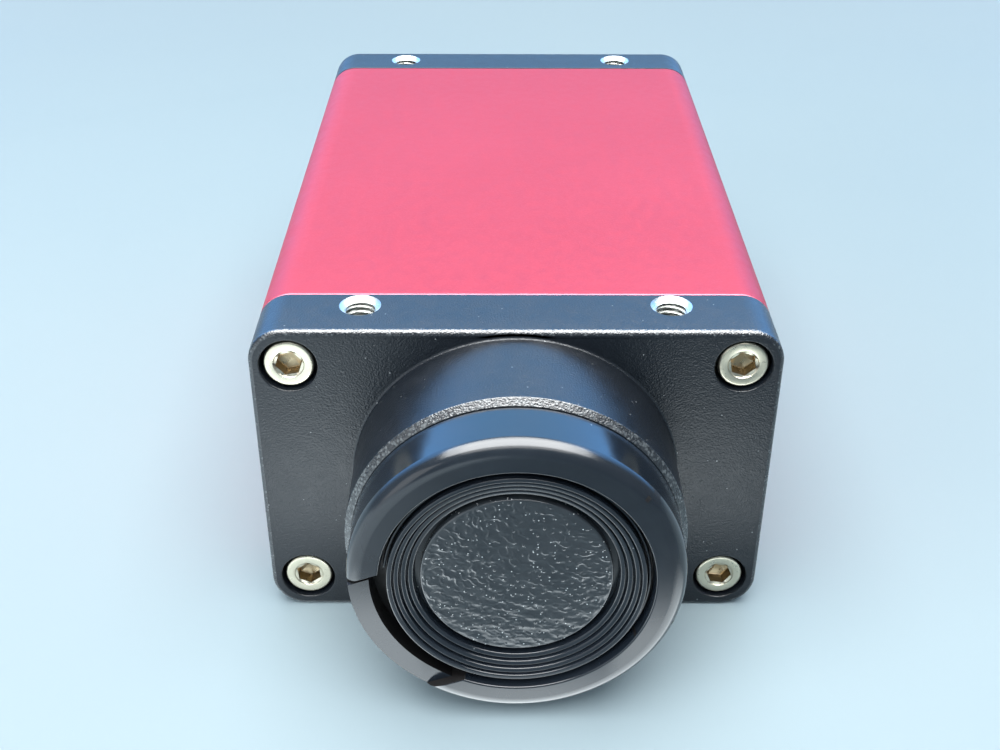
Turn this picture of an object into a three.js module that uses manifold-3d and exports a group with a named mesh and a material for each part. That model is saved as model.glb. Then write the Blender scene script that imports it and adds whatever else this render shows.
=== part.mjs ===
// Compact box camera with a cooled sensor: a drawn housing sleeve between two end plates, a round
// lens nose on the front plate closed by a push-in dust cap, and a sealed, conduction-cooled sensor
// stack inside.
//
// Millimetres, +Z up. The lens end faces -Y and +X is to the right seen from in front of the lens.
// Origin: on the underside, midway between the two front mounting holes. Inside the assembly group
// Y is measured from the front face of the front plate, and the group is shifted onto the origin.

import * as THREE from 'three';
import { mergeVertices } from 'three/addons/utils/BufferGeometryUtils.js';
import Module from 'manifold-3d';

const wasm = await Module();
wasm.setup();

// ---------------------------------------------------------------- driving dimensions
const WIDTH = 44; // of plates and sleeve
const HEIGHT = 29;
const CORNER_R = 3;
const FRONT_T = 6.3; // front plate thickness
const SLEEVE_L = 58.5;
const REAR_T = 5.7; // rear plate thickness
const WALL = 1.5; // sleeve wall
const PLATE_CHAMFER = 0.45; // round the outer face of each end plate
const SLEEVE_CHAMFER = 0.3; // round each end of the sleeve
const AXIS_Z = HEIGHT / 2; // optical axis height
const SLEEVE_END = FRONT_T + SLEEVE_L;
const REAR_FACE = SLEEVE_END + REAR_T;

const NOSE = { radius: 13.85, length: 9.15, chamfer: 0.5, root: 0.6 };
const NOSE_FACE = -NOSE.length;
const MOUNT = { radius: 12.3, depth: 6.6 }; // lens thread bore, at its minor radius
const FLANGE_FOCAL_DISTANCE = 17.526;
const SENSOR_Y = NOSE_FACE + FLANGE_FOCAL_DISTANCE; // light-sensitive surface

// M3 mounting holes: minor radius, and the countersink at the mouth
const MOUNTING_HOLE = { halfSpacing: 13, radius: 1.25, depth: 3.4, sinkRadius: 1.75, sinkDepth: 0.5 };
const HOLE_Y_FRONT = 4.4;
const HOLE_Y_REAR = SLEEVE_END + 2.9;

// the two end plates; inward is the direction along Y into the camera
const FRONT = { outer: 0, inner: FRONT_T, inward: 1, holeY: HOLE_Y_FRONT };
const REAR = { outer: REAR_FACE, inner: SLEEVE_END, inward: -1, holeY: HOLE_Y_REAR };

const SCREW = {
  headRadius: 2.125, headLength: 2.4, headSink: 0.3, shankRadius: 1.2, shankLength: 13,
  counterbore: 2.4, clearance: 1.4,
};

// gaskets lie in grooves whose centre line is inset from the outer section
const GASKET = { inset: 0.9, width: 0.6, clearance: 0.01, depth: 0.36 };
const GROOVE = { width: 0.7, depth: 0.4 };

// rear panel layout
const JACK = { x: -6.9, z: 13.2, width: 16.0, height: 13.4, proud: 0.8, depth: 13.5 };
const SOCKET = { x: 9.6, z: 12.3, radius: 4.7, proud: 6.75 };
const LIGHTS = [[4.2, 22.6], [8.4, 22.6]]; // [x, z]

const OVERCUT = 0.1; // how far a cutter runs past the face it opens
const GAP = 0.05; // assembly gap between touching parts

// [x, z] of four places round the optical axis: top left, top right, bottom left, bottom right
function fourCorners(halfX, halfZ) {
  return [1, -1].flatMap((up) => [-1, 1].map((side) => [side * halfX, AXIS_Z + up * halfZ]));
}
const screwPlaces = fourCorners(18.7, 11.2);
const postPlaces = fourCorners(12.4, 10.2);

// ---------------------------------------------------------------- meshes and solids
function indexedGeometry(positions, triangles) {
  const geometry = new THREE.BufferGeometry();
  geometry.setAttribute('position', new THREE.BufferAttribute(new Float32Array(positions), 3));
  geometry.setIndex(new THREE.BufferAttribute(new Uint32Array(triangles), 1));
  return geometry;
}

// merged vertices, no collapsed triangles, outward faces
function clean(geometry) {
  const bare = geometry.clone();
  bare.deleteAttribute('normal');
  bare.deleteAttribute('uv');
  const merged = mergeVertices(bare, 1e-4);
  const positions = merged.attributes.position.array;
  const source = merged.index.array;
  const kept = [];
  let volume = 0;
  for (let i = 0; i < source.length; i += 3) {
    const corners = [source[i], source[i + 1], source[i + 2]];
    if (new Set(corners).size < 3) continue;
    kept.push(...corners);
    const [a, b, c] = corners.map((k) => new THREE.Vector3().fromArray(positions, 3 * k));
    volume += a.dot(b.cross(c));
  }
  if (volume < 0) {
    for (let i = 0; i < kept.length; i += 3) {
      [kept[i + 1], kept[i + 2]] = [kept[i + 2], kept[i + 1]];
    }
  }
  return indexedGeometry(positions, kept);
}

// the functions below take geometries and Manifold solids alike
function toSolid(shape) {
  if (!shape.isBufferGeometry) return shape;
  const { attributes, index } = clean(shape);
  return new wasm.Manifold(new wasm.Mesh({
    numProp: 3,
    vertProperties: attributes.position.array,
    triVerts: index.array,
  }));
}

function toGeometry(shape) {
  if (shape.isBufferGeometry) return shape;
  const mesh = shape.getMesh();
  return indexedGeometry(mesh.vertProperties, mesh.triVerts);
}

const cut = (body, ...tools) => tools.reduce((rest, t) => rest.subtract(toSolid(t)), toSolid(body));
const join = (body, ...parts) => parts.reduce((sum, p) => sum.add(toSolid(p)), toSolid(body));

const group = new THREE.Group();
const assembly = new THREE.Group();
assembly.position.y = -HOLE_Y_FRONT;
group.add(assembly);

function piece(name, shape, makeMaterial) {
  const mesh = new THREE.Mesh(clean(toGeometry(shape)), makeMaterial());
  mesh.name = name;
  assembly.add(mesh);
}

// ---------------------------------------------------------------- X-Z sections
const polygon = (points) => new THREE.Shape(points.map(([x, z]) => new THREE.Vector2(x, z)));

function roundRect({ x = 0, z = AXIS_Z, width, height, radius }) {
  const shape = new THREE.Shape();
  const [left, right] = [x - width / 2, x + width / 2];
  const [bottom, top] = [z - height / 2, z + height / 2];
  shape.moveTo(left + radius, bottom);
  shape.lineTo(right - radius, bottom);
  shape.absarc(right - radius, bottom + radius, radius, -Math.PI / 2, 0, false);
  shape.lineTo(right, top - radius);
  shape.absarc(right - radius, top - radius, radius, 0, Math.PI / 2, false);
  shape.lineTo(left + radius, top);
  shape.absarc(left + radius, top - radius, radius, Math.PI / 2, Math.PI, false);
  shape.lineTo(left, bottom + radius);
  shape.absarc(left + radius, bottom + radius, radius, Math.PI, 1.5 * Math.PI, false);
  return shape;
}

function withHoles(shape, holes) {
  shape.holes.push(...holes);
  return shape;
}

// the camera's outer section, moved inwards
function insetSection(inset) {
  return roundRect({
    width: WIDTH - 2 * inset, height: HEIGHT - 2 * inset, radius: CORNER_R - inset,
  });
}

// a loop of the given width along the gasket's centre line
function gasketLoop(width) {
  const inner = insetSection(GASKET.inset + width / 2);
  return withHoles(insetSection(GASKET.inset - width / 2), [inner]);
}

// ---------------------------------------------------------------- bodies
// from and to are places along Y, in either order
function alongY(shape, from, to, curveSegments = 5) {
  const depth = Math.abs(to - from);
  const geometry = new THREE.ExtrudeGeometry(shape, { depth, bevelEnabled: false, curveSegments });
  geometry.rotateX(Math.PI / 2);
  geometry.translate(0, Math.max(from, to), 0);
  return geometry;
}

// a full-section block with both end edges chamfered
function chamferedBlock(from, to, chamfer) {
  const geometry = new THREE.ExtrudeGeometry(insetSection(chamfer), {
    depth: Math.abs(to - from) - 2 * chamfer,
    bevelEnabled: true,
    bevelThickness: chamfer,
    bevelSize: chamfer,
    bevelSegments: 1,
    curveSegments: 5,
  });
  geometry.rotateX(Math.PI / 2);
  geometry.translate(0, Math.max(from, to) - chamfer, 0);
  return geometry;
}

const lathe = (profile, segments) => new THREE.LatheGeometry(
  profile.map(([radius, along]) => new THREE.Vector2(radius, along)), segments);

// solid of revolution along Y through (x, z); profile is [radius, y] pairs
function turned(profile, { x = 0, z = AXIS_Z, segments = 48 } = {}) {
  return lathe(profile, segments).translate(x, 0, z);
}

// a ring's profile closes on itself
const ring = (profile, placing) => turned([...profile, profile[0]], placing);

function rod({ radius, from, to, ...placing }) {
  return turned([[0, from], [radius, from], [radius, to], [0, to]], placing);
}

function block({ x = 0, z = AXIS_Z, width, height, from, to }) {
  const geometry = new THREE.BoxGeometry(width, Math.abs(to - from), height);
  return geometry.translate(x, (from + to) / 2, z);
}

// ---------------------------------------------------------------- finishes
const finish = (settings) => () => new THREE.MeshStandardMaterial(settings);
const blackCoat = finish({ color: 0x17191b, roughness: 0.62, metalness: 0.1 });
const redAnodised = finish({ color: 0xa8223c, roughness: 0.42, metalness: 0.55 });
const blackPlastic = finish({ color: 0x131415, roughness: 0.32, metalness: 0 });
const mattePlastic = finish({ color: 0x1b1c1e, roughness: 0.6, metalness: 0 });
const stainless = finish({ color: 0xc8c6bf, roughness: 0.28, metalness: 1 });
const aluminium = finish({ color: 0xb9bcc0, roughness: 0.45, metalness: 1 });
const nickel = finish({ color: 0xc2c0ba, roughness: 0.3, metalness: 1 });
const gold = finish({ color: 0xd0a34a, roughness: 0.3, metalness: 1 });
const copper = finish({ color: 0xb87044, roughness: 0.35, metalness: 1 });
const rubber = finish({ color: 0x202022, roughness: 0.85, metalness: 0 });
const laminate = finish({ color: 0x14553a, roughness: 0.5, metalness: 0 });
const ceramic = finish({ color: 0xe8e6e0, roughness: 0.5, metalness: 0 });
const moduleCeramic = finish({ color: 0xdedbd2, roughness: 0.6, metalness: 0 });
const darkMetal = finish({ color: 0x1a1b1d, roughness: 0.5, metalness: 0.6 });
const silicon = finish({ color: 0x39414a, roughness: 0.25, metalness: 0.3 });
const thermalPad = finish({ color: 0x8f9aa6, roughness: 0.9, metalness: 0 });
const processorCase = finish({ color: 0x1c1d1f, roughness: 0.55, metalness: 0 });
const transformerCase = finish({ color: 0x1c1d1f, roughness: 0.6, metalness: 0 });
const flexFilm = finish({ color: 0x9a5a1e, roughness: 0.5, metalness: 0 });
const clear = (color, roughness, opacity) => finish({
  color, roughness, metalness: 0, transparent: true, opacity,
});
const glass = clear(0xcfe3dc, 0.05, 0.35);
const lightPipes = [clear(0xe8d9b8, 0.2, 0.8), clear(0xd8e4c0, 0.2, 0.8)];

// ---------------------------------------------------------------- features of both end plates
// chamfered on the outer face only: made too long, then cut square at the inner face
function plateBlank({ outer, inner, inward }) {
  const spare = inward;
  return cut(
    chamferedBlock(outer, inner + spare, PLATE_CHAMFER),
    block({ width: 2 * WIDTH, height: HEIGHT + 2, from: inner, to: inner + 2 * spare }),
  );
}

// a counterbore and a clearance hole for each screw
function screwHoles({ outer, inner, inward }) {
  const { headSink, headLength, counterbore, clearance } = SCREW;
  const seat = outer + inward * (headSink + headLength);
  const past = inward * OVERCUT;
  return screwPlaces.flatMap(([x, z]) => [
    rod({ x, z, radius: counterbore, from: outer - past, to: seat, segments: 20 }),
    rod({ x, z, radius: clearance, from: seat - past, to: inner + past, segments: 12 }),
  ]);
}

// blind threaded holes from above and below
function mountingHoles({ holeY }) {
  const { halfSpacing, radius, depth, sinkRadius, sinkDepth } = MOUNTING_HOLE;
  // [radius, depth below the surface]
  const profile = [
    [0, depth], [radius, depth], [radius, sinkDepth], [sinkRadius + OVERCUT, -OVERCUT], [0, -OVERCUT],
  ];
  const fromTop = profile.map(([r, d]) => [r, HEIGHT - d]);
  return [-halfSpacing, halfSpacing].flatMap((x) => [fromTop, profile].map(
    (side) => lathe(side, 16).rotateX(Math.PI / 2).translate(x, holeY, 0)));
}

function gasketGroove({ inner, inward }) {
  const [from, to] = [inner - inward * GROOVE.depth, inner + inward * OVERCUT];
  return alongY(gasketLoop(GROOVE.width), from, to, 4);
}

const plateCuts = (plate) => [...screwHoles(plate), ...mountingHoles(plate), gasketGroove(plate)];

// ---------------------------------------------------------------- front plate with the lens nose
function frontPlate() {
  const { radius, chamfer, root } = NOSE;
  const nose = turned([
    [0, NOSE_FACE], [radius - chamfer, NOSE_FACE], [radius, NOSE_FACE + chamfer],
    [radius, root], [0, root],
  ]);
  // lens thread bore, window seat, and the opening behind it
  const mouth = NOSE_FACE - OVERCUT;
  const threadEnd = NOSE_FACE + MOUNT.depth;
  const [seatR, seatY, openingR, openingEnd] = [11.3, -0.9, 10.2, 1.2];
  const bore = turned([
    [0, mouth], [MOUNT.radius, mouth], [MOUNT.radius, threadEnd], [seatR, threadEnd],
    [seatR, seatY], [openingR, seatY], [openingR, openingEnd], [0, openingEnd],
  ]);
  const wellSection = roundRect({ width: 19, height: 15.4, radius: 1 });
  const lightWell = alongY(wellSection, 1.0, FRONT_T + OVERCUT, 3);
  return cut(join(plateBlank(FRONT), nose), bore, lightWell, ...plateCuts(FRONT));
}
piece('front_plate', frontPlate(), blackCoat);

// ---------------------------------------------------------------- dust cap, one moulding
const CAP = { front: -14.25, radius: 13.29, web: 0.85, dishRadius: 10.0, skirtInner: 11.55 };
const CAP_PLUG = { radius: 12.15, innerRadius: 11.0, length: 4.5, chamfer: 0.4 };
// parallel-sided thumb slot: direction in degrees from +X towards +Z, and its
// sides as offsets from a radius in that direction
const SLOT = { direction: 199.5, upper: -4.62, lower: 7.97, length: 16 };

// towards the lower left seen from the front
function slotSection() {
  const angle = (SLOT.direction * Math.PI) / 180;
  const [cos, sin] = [Math.cos(angle), Math.sin(angle)];
  const { upper, lower, length } = SLOT;
  return polygon([[0, upper], [length, upper], [length, lower], [0, lower]].map(
    ([along, side]) => [cos * along - sin * side, AXIS_Z + sin * along + cos * side]));
}

function dustCap() {
  const { front, radius, web, dishRadius, skirtInner } = CAP;
  const webBack = front + web;
  const shoulder = NOSE_FACE - GAP;
  const plugEnd = NOSE_FACE + CAP_PLUG.length;
  const plugR = CAP_PLUG.radius;
  // [radius, y]: dish from the centre out, rim, then the plug back to the centre
  const body = turned([
    [0, -13.15], [7.46, -13.15], [7.46, -12.9], [8.0, -12.9], [8.0, -13.2], [dishRadius, -13.98],
    [dishRadius, -13.45], [10.77, -13.45], [10.77, -14.0], [11.1, front], [12.3, front],
    [12.95, -14.02], [radius, -13.45], [radius, shoulder],
    [plugR, shoulder], [plugR, plugEnd - CAP_PLUG.chamfer], [plugR - CAP_PLUG.chamfer, plugEnd],
    [CAP_PLUG.innerRadius, plugEnd], [CAP_PLUG.innerRadius, -10.2], [0, -10.2],
  ]);
  // the slot passes through the web but spares the dish
  const slot = cut(
    alongY(slotSection(), front - 0.2, webBack),
    rod({ radius: dishRadius, from: front - 1, to: webBack + 1 }),
  );
  // deep pocket between the dish and the rim, as long as the slot
  const pocketRing = ring([
    [dishRadius, webBack - 0.2], [skirtInner, webBack - 0.2],
    [skirtInner, -11.0], [dishRadius, -11.0],
  ]);
  const pocket = toSolid(alongY(slotSection(), webBack - OVERCUT, -11.3))
    .intersect(toSolid(pocketRing));
  return cut(body, slot, pocket);
}
piece('dust_cap', dustCap(), blackPlastic);

// ---------------------------------------------------------------- window over the sensor chamber
// ring profiles are [radius, y]
const WINDOW_SEAL = [[10.3, -1.35], [11.2, -1.35], [11.2, -0.95], [10.3, -0.95]];
const RETAINING_RING = [
  [10.2, -3.9], [12.2, -3.9], [12.2, -2.62], [11.15, -2.62], [11.15, -2.45], [10.2, -2.45],
];
piece('window_seal', ring(WINDOW_SEAL, { segments: 28 }), rubber);
piece('protective_window', rod({ radius: 11.2, from: -2.4, to: -1.38, segments: 36 }), glass);
piece('window_retaining_ring', ring(RETAINING_RING, { segments: 28 }), darkMetal);

// ---------------------------------------------------------------- boards
// front face of each board
const SENSOR_BOARD_Y = SENSOR_Y + 1.7;
const PROCESSING_Y = 34;
const INTERFACE_Y = 46.5;
const CONNECTOR_Y = 56;
const BOARD = { width: 40, height: 25, thickness: 1.6, postHole: 1.25 };
const NOTCH = { width: 5.3, height: 4.6 };

// a section with its corners notched to clear the screw bosses, and holes for the posts
function notchedSection({ width, height, postHole }, holes = []) {
  const [side, step] = [width / 2, width / 2 - NOTCH.width];
  const [bottom, top] = [AXIS_Z - height / 2, AXIS_Z + height / 2];
  const [low, high] = [bottom + NOTCH.height, top - NOTCH.height];
  const outline = polygon([
    [-step, bottom], [step, bottom], [step, low], [side, low], [side, high], [step, high],
    [step, top], [-step, top], [-step, high], [-side, high], [-side, low], [-step, low],
  ]);
  const postHoles = postPlaces.map(
    ([x, z]) => new THREE.Shape().absarc(x, z, postHole, 0, 2 * Math.PI, false));
  return withHoles(outline, [...postHoles, ...holes]);
}

const boardAt = (y, holes) => alongY(notchedSection(BOARD, holes), y, y + BOARD.thickness);

// ---------------------------------------------------------------- cooled sensor stack
const COLD_FINGER = { width: 12, height: 9, from: SENSOR_BOARD_Y, to: SENSOR_Y + 4.4 };
const FINGER_OPENING = { width: 12.6, height: 9.6, radius: 1 };
const COVER_GLASS = { width: 17.2, height: 13.6, from: SENSOR_Y - 1.55, to: SENSOR_Y - 1.05 };
const PACKAGE = { width: 18.4, height: 14.8, from: SENSOR_Y - 1.0, to: SENSOR_Y + 1.6 };
const PACKAGE_CAVITY = {
  width: 14.4, height: 10.8, from: PACKAGE.from - OVERCUT, to: SENSOR_Y + 0.25,
};
const CHIP = { width: 13.2, height: 9.8, from: SENSOR_Y, to: SENSOR_Y + 0.22 };
piece('sensor_cover_glass', block(COVER_GLASS), glass);
piece('sensor_package', cut(block(PACKAGE), block(PACKAGE_CAVITY)), ceramic);
piece('sensor_chip', block(CHIP), silicon);
piece('sensor_board', boardAt(SENSOR_BOARD_Y, [roundRect(FINGER_OPENING)]), laminate);
piece('cold_finger', block(COLD_FINGER), copper);

// two ceramic plates joined by a square grid of semiconductor legs
function thermoelectricModule() {
  const [side, plate, legPitch, legSide, legCount] = [15, 0.8, 3.8, 1.6, 4];
  const front = SENSOR_Y + 4.5;
  const back = front + 3.2;
  const offset = (i) => (i - (legCount - 1) / 2) * legPitch;
  const legs = [];
  for (let i = 0; i < legCount; i++) {
    for (let k = 0; k < legCount; k++) {
      legs.push(block({
        x: offset(i), z: AXIS_Z + offset(k), width: legSide, height: legSide,
        from: front + plate / 2, to: back - plate / 2,
      }));
    }
  }
  return join(
    block({ width: side, height: side, from: front, to: front + plate }),
    ...legs,
    block({ width: side, height: side, from: back - plate, to: back }),
  );
}
piece('thermoelectric_module', thermoelectricModule(), moduleCeramic);

// aluminium bridge carrying the heat of the hot side out to the sleeve
const BRIDGE = { y: SENSOR_Y + 7.8, width: 40.4, height: 23.6, thickness: 3, postHole: 1.4 };
const FLANGE = { width: 19, thickness: 1.6, offset: 11, end: BRIDGE.y + 15 };
const PAD = { thickness: 1.1, offset: 12.4 };
const CABLE_SLOT = { width: 10.4, height: 1.8, z: AXIS_Z + 9 };

function heatBridge() {
  const back = BRIDGE.y + BRIDGE.thickness;
  const flanges = [1, -1].map((side) => block({
    z: AXIS_Z + side * FLANGE.offset, width: FLANGE.width, height: FLANGE.thickness,
    from: back - 0.5, to: FLANGE.end,
  }));
  const body = join(alongY(notchedSection(BRIDGE), BRIDGE.y, back), ...flanges);
  return cut(body, block({ ...CABLE_SLOT, from: BRIDGE.y - OVERCUT, to: back + OVERCUT }));
}
piece('heat_bridge', heatBridge(), aluminium);

[['top', 1], ['bottom', -1]].forEach(([place, side]) => piece(`thermal_pad_${place}`, block({
  z: AXIS_Z + side * PAD.offset, width: FLANGE.width, height: PAD.thickness,
  from: BRIDGE.y + 0.2, to: FLANGE.end,
}), thermalPad));

// ---------------------------------------------------------------- electronics
piece('image_processing_board', boardAt(PROCESSING_Y), laminate);
piece('interface_board', boardAt(INTERFACE_Y), laminate);
piece('connector_board', boardAt(CONNECTOR_Y), laminate);

const behind = (boardY) => boardY + BOARD.thickness + GAP;
piece('image_processor', block({
  width: 15, height: 15, from: PROCESSING_Y - 1.9, to: PROCESSING_Y - GAP,
}), processorCase);
piece('board_connector_front', block({
  z: AXIS_Z - 7.6, width: 18, height: 4, from: behind(PROCESSING_Y), to: INTERFACE_Y - GAP,
}), mattePlastic);
piece('board_connector_rear', block({
  z: AXIS_Z + 5.6, width: 18, height: 4, from: behind(INTERFACE_Y), to: CONNECTOR_Y - GAP,
}), mattePlastic);
piece('network_transformer', block({
  x: -9.25, z: AXIS_Z - 4.25, width: 12.5, height: 7.5,
  from: behind(INTERFACE_Y), to: INTERFACE_Y + 7.2,
}), transformerCase);

// flat flexible cable from the sensor board, through the heat bridge, to the processing board
function flexCable() {
  const [width, thickness, leg, top] = [9, 0.25, 1.2, AXIS_Z + 9.1];
  const [front, back] = [behind(SENSOR_BOARD_Y), PROCESSING_Y - GAP];
  const [tip, under] = [top - leg, top - thickness];
  // [y, z]
  const section = polygon([
    [front, tip], [front + thickness, tip], [front + thickness, under], [back - thickness, under],
    [back - thickness, tip], [back, tip], [back, top], [front, top],
  ]);
  const geometry = new THREE.ExtrudeGeometry(section, { depth: width, bevelEnabled: false });
  // turn the section into Y-Z and the extrusion along X
  return geometry.applyMatrix4(new THREE.Matrix4().set(
    0, 0, 1, -width / 2,
    1, 0, 0, 0,
    0, 1, 0, 0,
    0, 0, 0, 1,
  ));
}
piece('sensor_flex_cable', flexCable(), flexFilm);

// stepped posts: the sensor board sits on the shoulder, the other boards on the thin part
function boardPost([x, z]) {
  const [baseR, stemR] = [2.1, 1.0];
  const [base, shoulder, end] = [FRONT_T + GAP, SENSOR_BOARD_Y - GAP, CONNECTOR_Y + 3.2];
  return turned([
    [0, base], [baseR, base], [baseR, shoulder], [stemR, shoulder], [stemR, end], [0, end],
  ], { x, z, segments: 12 });
}
postPlaces.forEach((place, i) => piece(`board_post_${i + 1}`, boardPost(place), nickel));

// ---------------------------------------------------------------- housing sleeve and gaskets
function sleeve() {
  const [bossR, screwHoleR] = [2.7, 1.35];
  const [front, back] = [FRONT_T - OVERCUT, SLEEVE_END + OVERCUT];
  const bosses = screwPlaces.map(([x, z]) => rod({
    x, z, radius: bossR, from: FRONT_T - 1, to: SLEEVE_END + 1, segments: 16,
  }));
  const holes = screwPlaces.map(([x, z]) => rod({
    x, z, radius: screwHoleR, from: front, to: back, segments: 12,
  }));
  const cavity = cut(alongY(insetSection(WALL), front, back), ...bosses);
  return cut(chamferedBlock(FRONT_T, SLEEVE_END, SLEEVE_CHAMFER), cavity, ...holes);
}
piece('housing_sleeve', sleeve(), redAnodised);

function gasket({ inner, inward }) {
  const [from, to] = [inner - inward * GASKET.depth, inner - inward * GASKET.clearance];
  return alongY(gasketLoop(GASKET.width), from, to, 4);
}
piece('front_gasket', gasket(FRONT), rubber);
piece('rear_gasket', gasket(REAR), rubber);

// ---------------------------------------------------------------- rear plate
function rearPlate() {
  const through = { from: SLEEVE_END - OVERCUT, to: REAR_FACE + OVERCUT };
  const jackOpening = roundRect({
    x: JACK.x, z: JACK.z, width: JACK.width + 0.5, height: JACK.height + 0.5, radius: 0.4,
  });
  const recess = roundRect({ width: 30, height: 21, radius: 1.5 });
  // lock-screw threads above and below the network jack
  const lockThreads = [-8.9, 8.9].map((offset) => rod({
    x: JACK.x, z: JACK.z + offset, radius: 0.8,
    from: REAR_FACE - 2.6, to: through.to, segments: 12,
  }));
  return cut(
    plateBlank(REAR),
    alongY(jackOpening, through.from, through.to, 3),
    rod({ x: SOCKET.x, z: SOCKET.z, radius: SOCKET.radius + 0.15, ...through, segments: 24 }),
    alongY(recess, through.from, SLEEVE_END + 2.2, 3),
    ...LIGHTS.map(([x, z]) => rod({ x, z, radius: 1.1, ...through, segments: 12 })),
    ...lockThreads,
    ...plateCuts(REAR),
  );
}
piece('rear_plate', rearPlate(), blackCoat);

// ---------------------------------------------------------------- network jack
const JACK_FACE = REAR_FACE + JACK.proud;
const JACK_BACK = JACK_FACE - JACK.depth;

// the jack's outline, moved inwards
const jackBody = (inset, from, to) => block({
  x: JACK.x, z: JACK.z, width: JACK.width - 2 * inset, height: JACK.height - 2 * inset, from, to,
});

// bottom and top are heights from the jack's centre; deep and shallow are depths behind its face
const jackBlock = ([width, bottom, top, deep, shallow], offsetX = 0) => block({
  x: JACK.x + offsetX, z: JACK.z + (bottom + top) / 2, width, height: top - bottom,
  from: JACK_FACE - deep, to: JACK_FACE - shallow,
});

// [width, bottom, top, deep, shallow]
const JACK_CAVITIES = [
  [11.9, -4.4, 2.4, 11.5, -OVERCUT], // plug opening
  [6.2, 2.2, 3.9, 11.5, -OVERCUT], // wide step of the latch channel
  [3.4, 3.7, 5.2, 11.5, -OVERCUT], // narrow step of the latch channel
  [9.2, -5.9, -4.3, 12.6, 2.0], // contact recess
];
const CONTACT_BAR = [8.8, -5.8, -5.2, 12.4, 11.8];
const CONTACT_WIRE = [0.44, -5.75, -5.3, 12.3, 3.2];
const CONTACTS = { count: 8, pitch: 1.02 };

piece('network_jack_shield', cut(
  jackBody(0, JACK_BACK, JACK_FACE),
  jackBody(0.35, JACK_BACK + 0.4, JACK_FACE + OVERCUT),
), nickel);
piece('network_jack_insert', cut(
  jackBody(0.45, JACK_BACK + 0.5, JACK_FACE - 0.15),
  ...JACK_CAVITIES.map((row) => jackBlock(row)),
), mattePlastic);

// contact comb: straight wires reaching towards the mouth from a common bar
const wires = Array.from({ length: CONTACTS.count }, (_, i) => jackBlock(
  CONTACT_WIRE, (i - (CONTACTS.count - 1) / 2) * CONTACTS.pitch));
piece('network_jack_contacts', join(jackBlock(CONTACT_BAR), ...wires), gold);

// ---------------------------------------------------------------- round power and trigger socket
function powerSocket() {
  const { x, z, radius } = SOCKET;
  const place = { x, z, segments: 24 };
  const face = REAR_FACE + SOCKET.proud;
  const [shellInner, shellBack] = [4.05, SLEEVE_END - 3.2];
  piece('power_socket_shell', ring([
    [shellInner, face], [4.45, face], [radius, face - 0.3], [radius, REAR_FACE + 1.25],
    [radius, shellBack], [shellInner, shellBack],
  ], place), nickel);

  // [radius, distance behind the rear plate]
  const nutInner = radius + 0.08;
  const nut = [[nutInner, 0.02], [5.9, 0.02], [6.15, 0.3], [6.15, 1.2], [5.9, 1.5], [nutInner, 1.5]];
  piece('power_socket_nut', ring(nut.map(([r, d]) => [r, REAR_FACE + d]), place), nickel);

  const [pinCount, pinCircleR, pinR, pinTipR] = [6, 2.35, 0.4, 0.2];
  const pins = Array.from({ length: pinCount }, (_, i) => {
    const angle = Math.PI / 2 + ((i + 0.5) * 2 * Math.PI) / pinCount;
    return { x: x + pinCircleR * Math.cos(angle), z: z + pinCircleR * Math.sin(angle), segments: 8 };
  });
  const [insertBack, insertFace] = [SLEEVE_END - 3.0, face - 3.2];
  piece('power_socket_insert', cut(
    rod({ ...place, radius: 3.95, from: insertBack, to: insertFace }),
    ...pins.map((pin) => rod({
      ...pin, radius: 0.5, from: insertBack - OVERCUT, to: insertFace + OVERCUT,
    })),
  ), mattePlastic);

  const [pinStart, pinEnd] = [SLEEVE_END - 4.2, face - 0.7];
  const pinProfile = [
    [0, pinStart], [pinR, pinStart], [pinR, pinEnd - 0.25], [pinTipR, pinEnd], [0, pinEnd],
  ];
  pins.forEach((pin, i) => piece(`power_pin_${i + 1}`, turned(pinProfile, pin), gold));
}
powerSocket();

// ---------------------------------------------------------------- status lights
const LIGHT_PIPE = [ // [radius, y]
  [0, SLEEVE_END + 0.2], [1.0, SLEEVE_END + 0.2], [1.0, REAR_FACE - 0.2],
  [0.75, REAR_FACE + 0.15], [0, REAR_FACE + 0.3],
];
LIGHTS.forEach(([x, z], i) => piece(
  `status_light_pipe_${i + 1}`, turned(LIGHT_PIPE, { x, z, segments: 12 }), lightPipes[i]));

// ---------------------------------------------------------------- end plate screws
const HEX_SOCKET = { acrossFlats: 2.0, depth: 1.3 };

function hexagon(centreX, centreZ, acrossFlats) {
  const radius = acrossFlats / Math.sqrt(3);
  return polygon(Array.from({ length: 6 }, (_, i) => {
    const angle = (i * Math.PI) / 3 + Math.PI / 6;
    return [centreX + radius * Math.cos(angle), centreZ + radius * Math.sin(angle)];
  }));
}

function socketScrew([x, z], { outer, inward }) {
  const { headRadius, headLength, headSink, shankRadius, shankLength } = SCREW;
  const yAt = (depth) => outer + inward * (headSink + depth);
  const underHead = headLength - 0.02;
  const tip = headLength + shankLength;
  const tipChamfer = 0.4;
  // [radius, depth below the head's face]
  const profile = [
    [0, 0], [1.8, 0], [headRadius, 0.28], [headRadius, underHead], [shankRadius, underHead],
    [shankRadius, tip - tipChamfer], [shankRadius - tipChamfer, tip], [0, tip],
  ];
  return cut(
    turned(profile.map(([r, depth]) => [r, yAt(depth)]), { x, z, segments: 16 }),
    alongY(hexagon(x, z, HEX_SOCKET.acrossFlats), yAt(-OVERCUT), yAt(HEX_SOCKET.depth)),
  );
}

const CORNER_NAMES = ['top_left', 'top_right', 'bottom_left', 'bottom_right'];
for (const [end, plate] of [['front', FRONT], ['rear', REAR]]) {
  screwPlaces.forEach((place, i) => {
    piece(`${end}_screw_${CORNER_NAMES[i]}`, socketScrew(place, plate), stainless);
  });
}

export default group;
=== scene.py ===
# A boxy network camera: two black end plates around a red sleeve, a round lens nose with its dust
# cap in front, and network, power and status light openings behind. The lens looks along -Y, the
# sockets face +Y, Z is up and the underside is at z = 0. Left and right are as seen from the front.
import math

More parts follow.
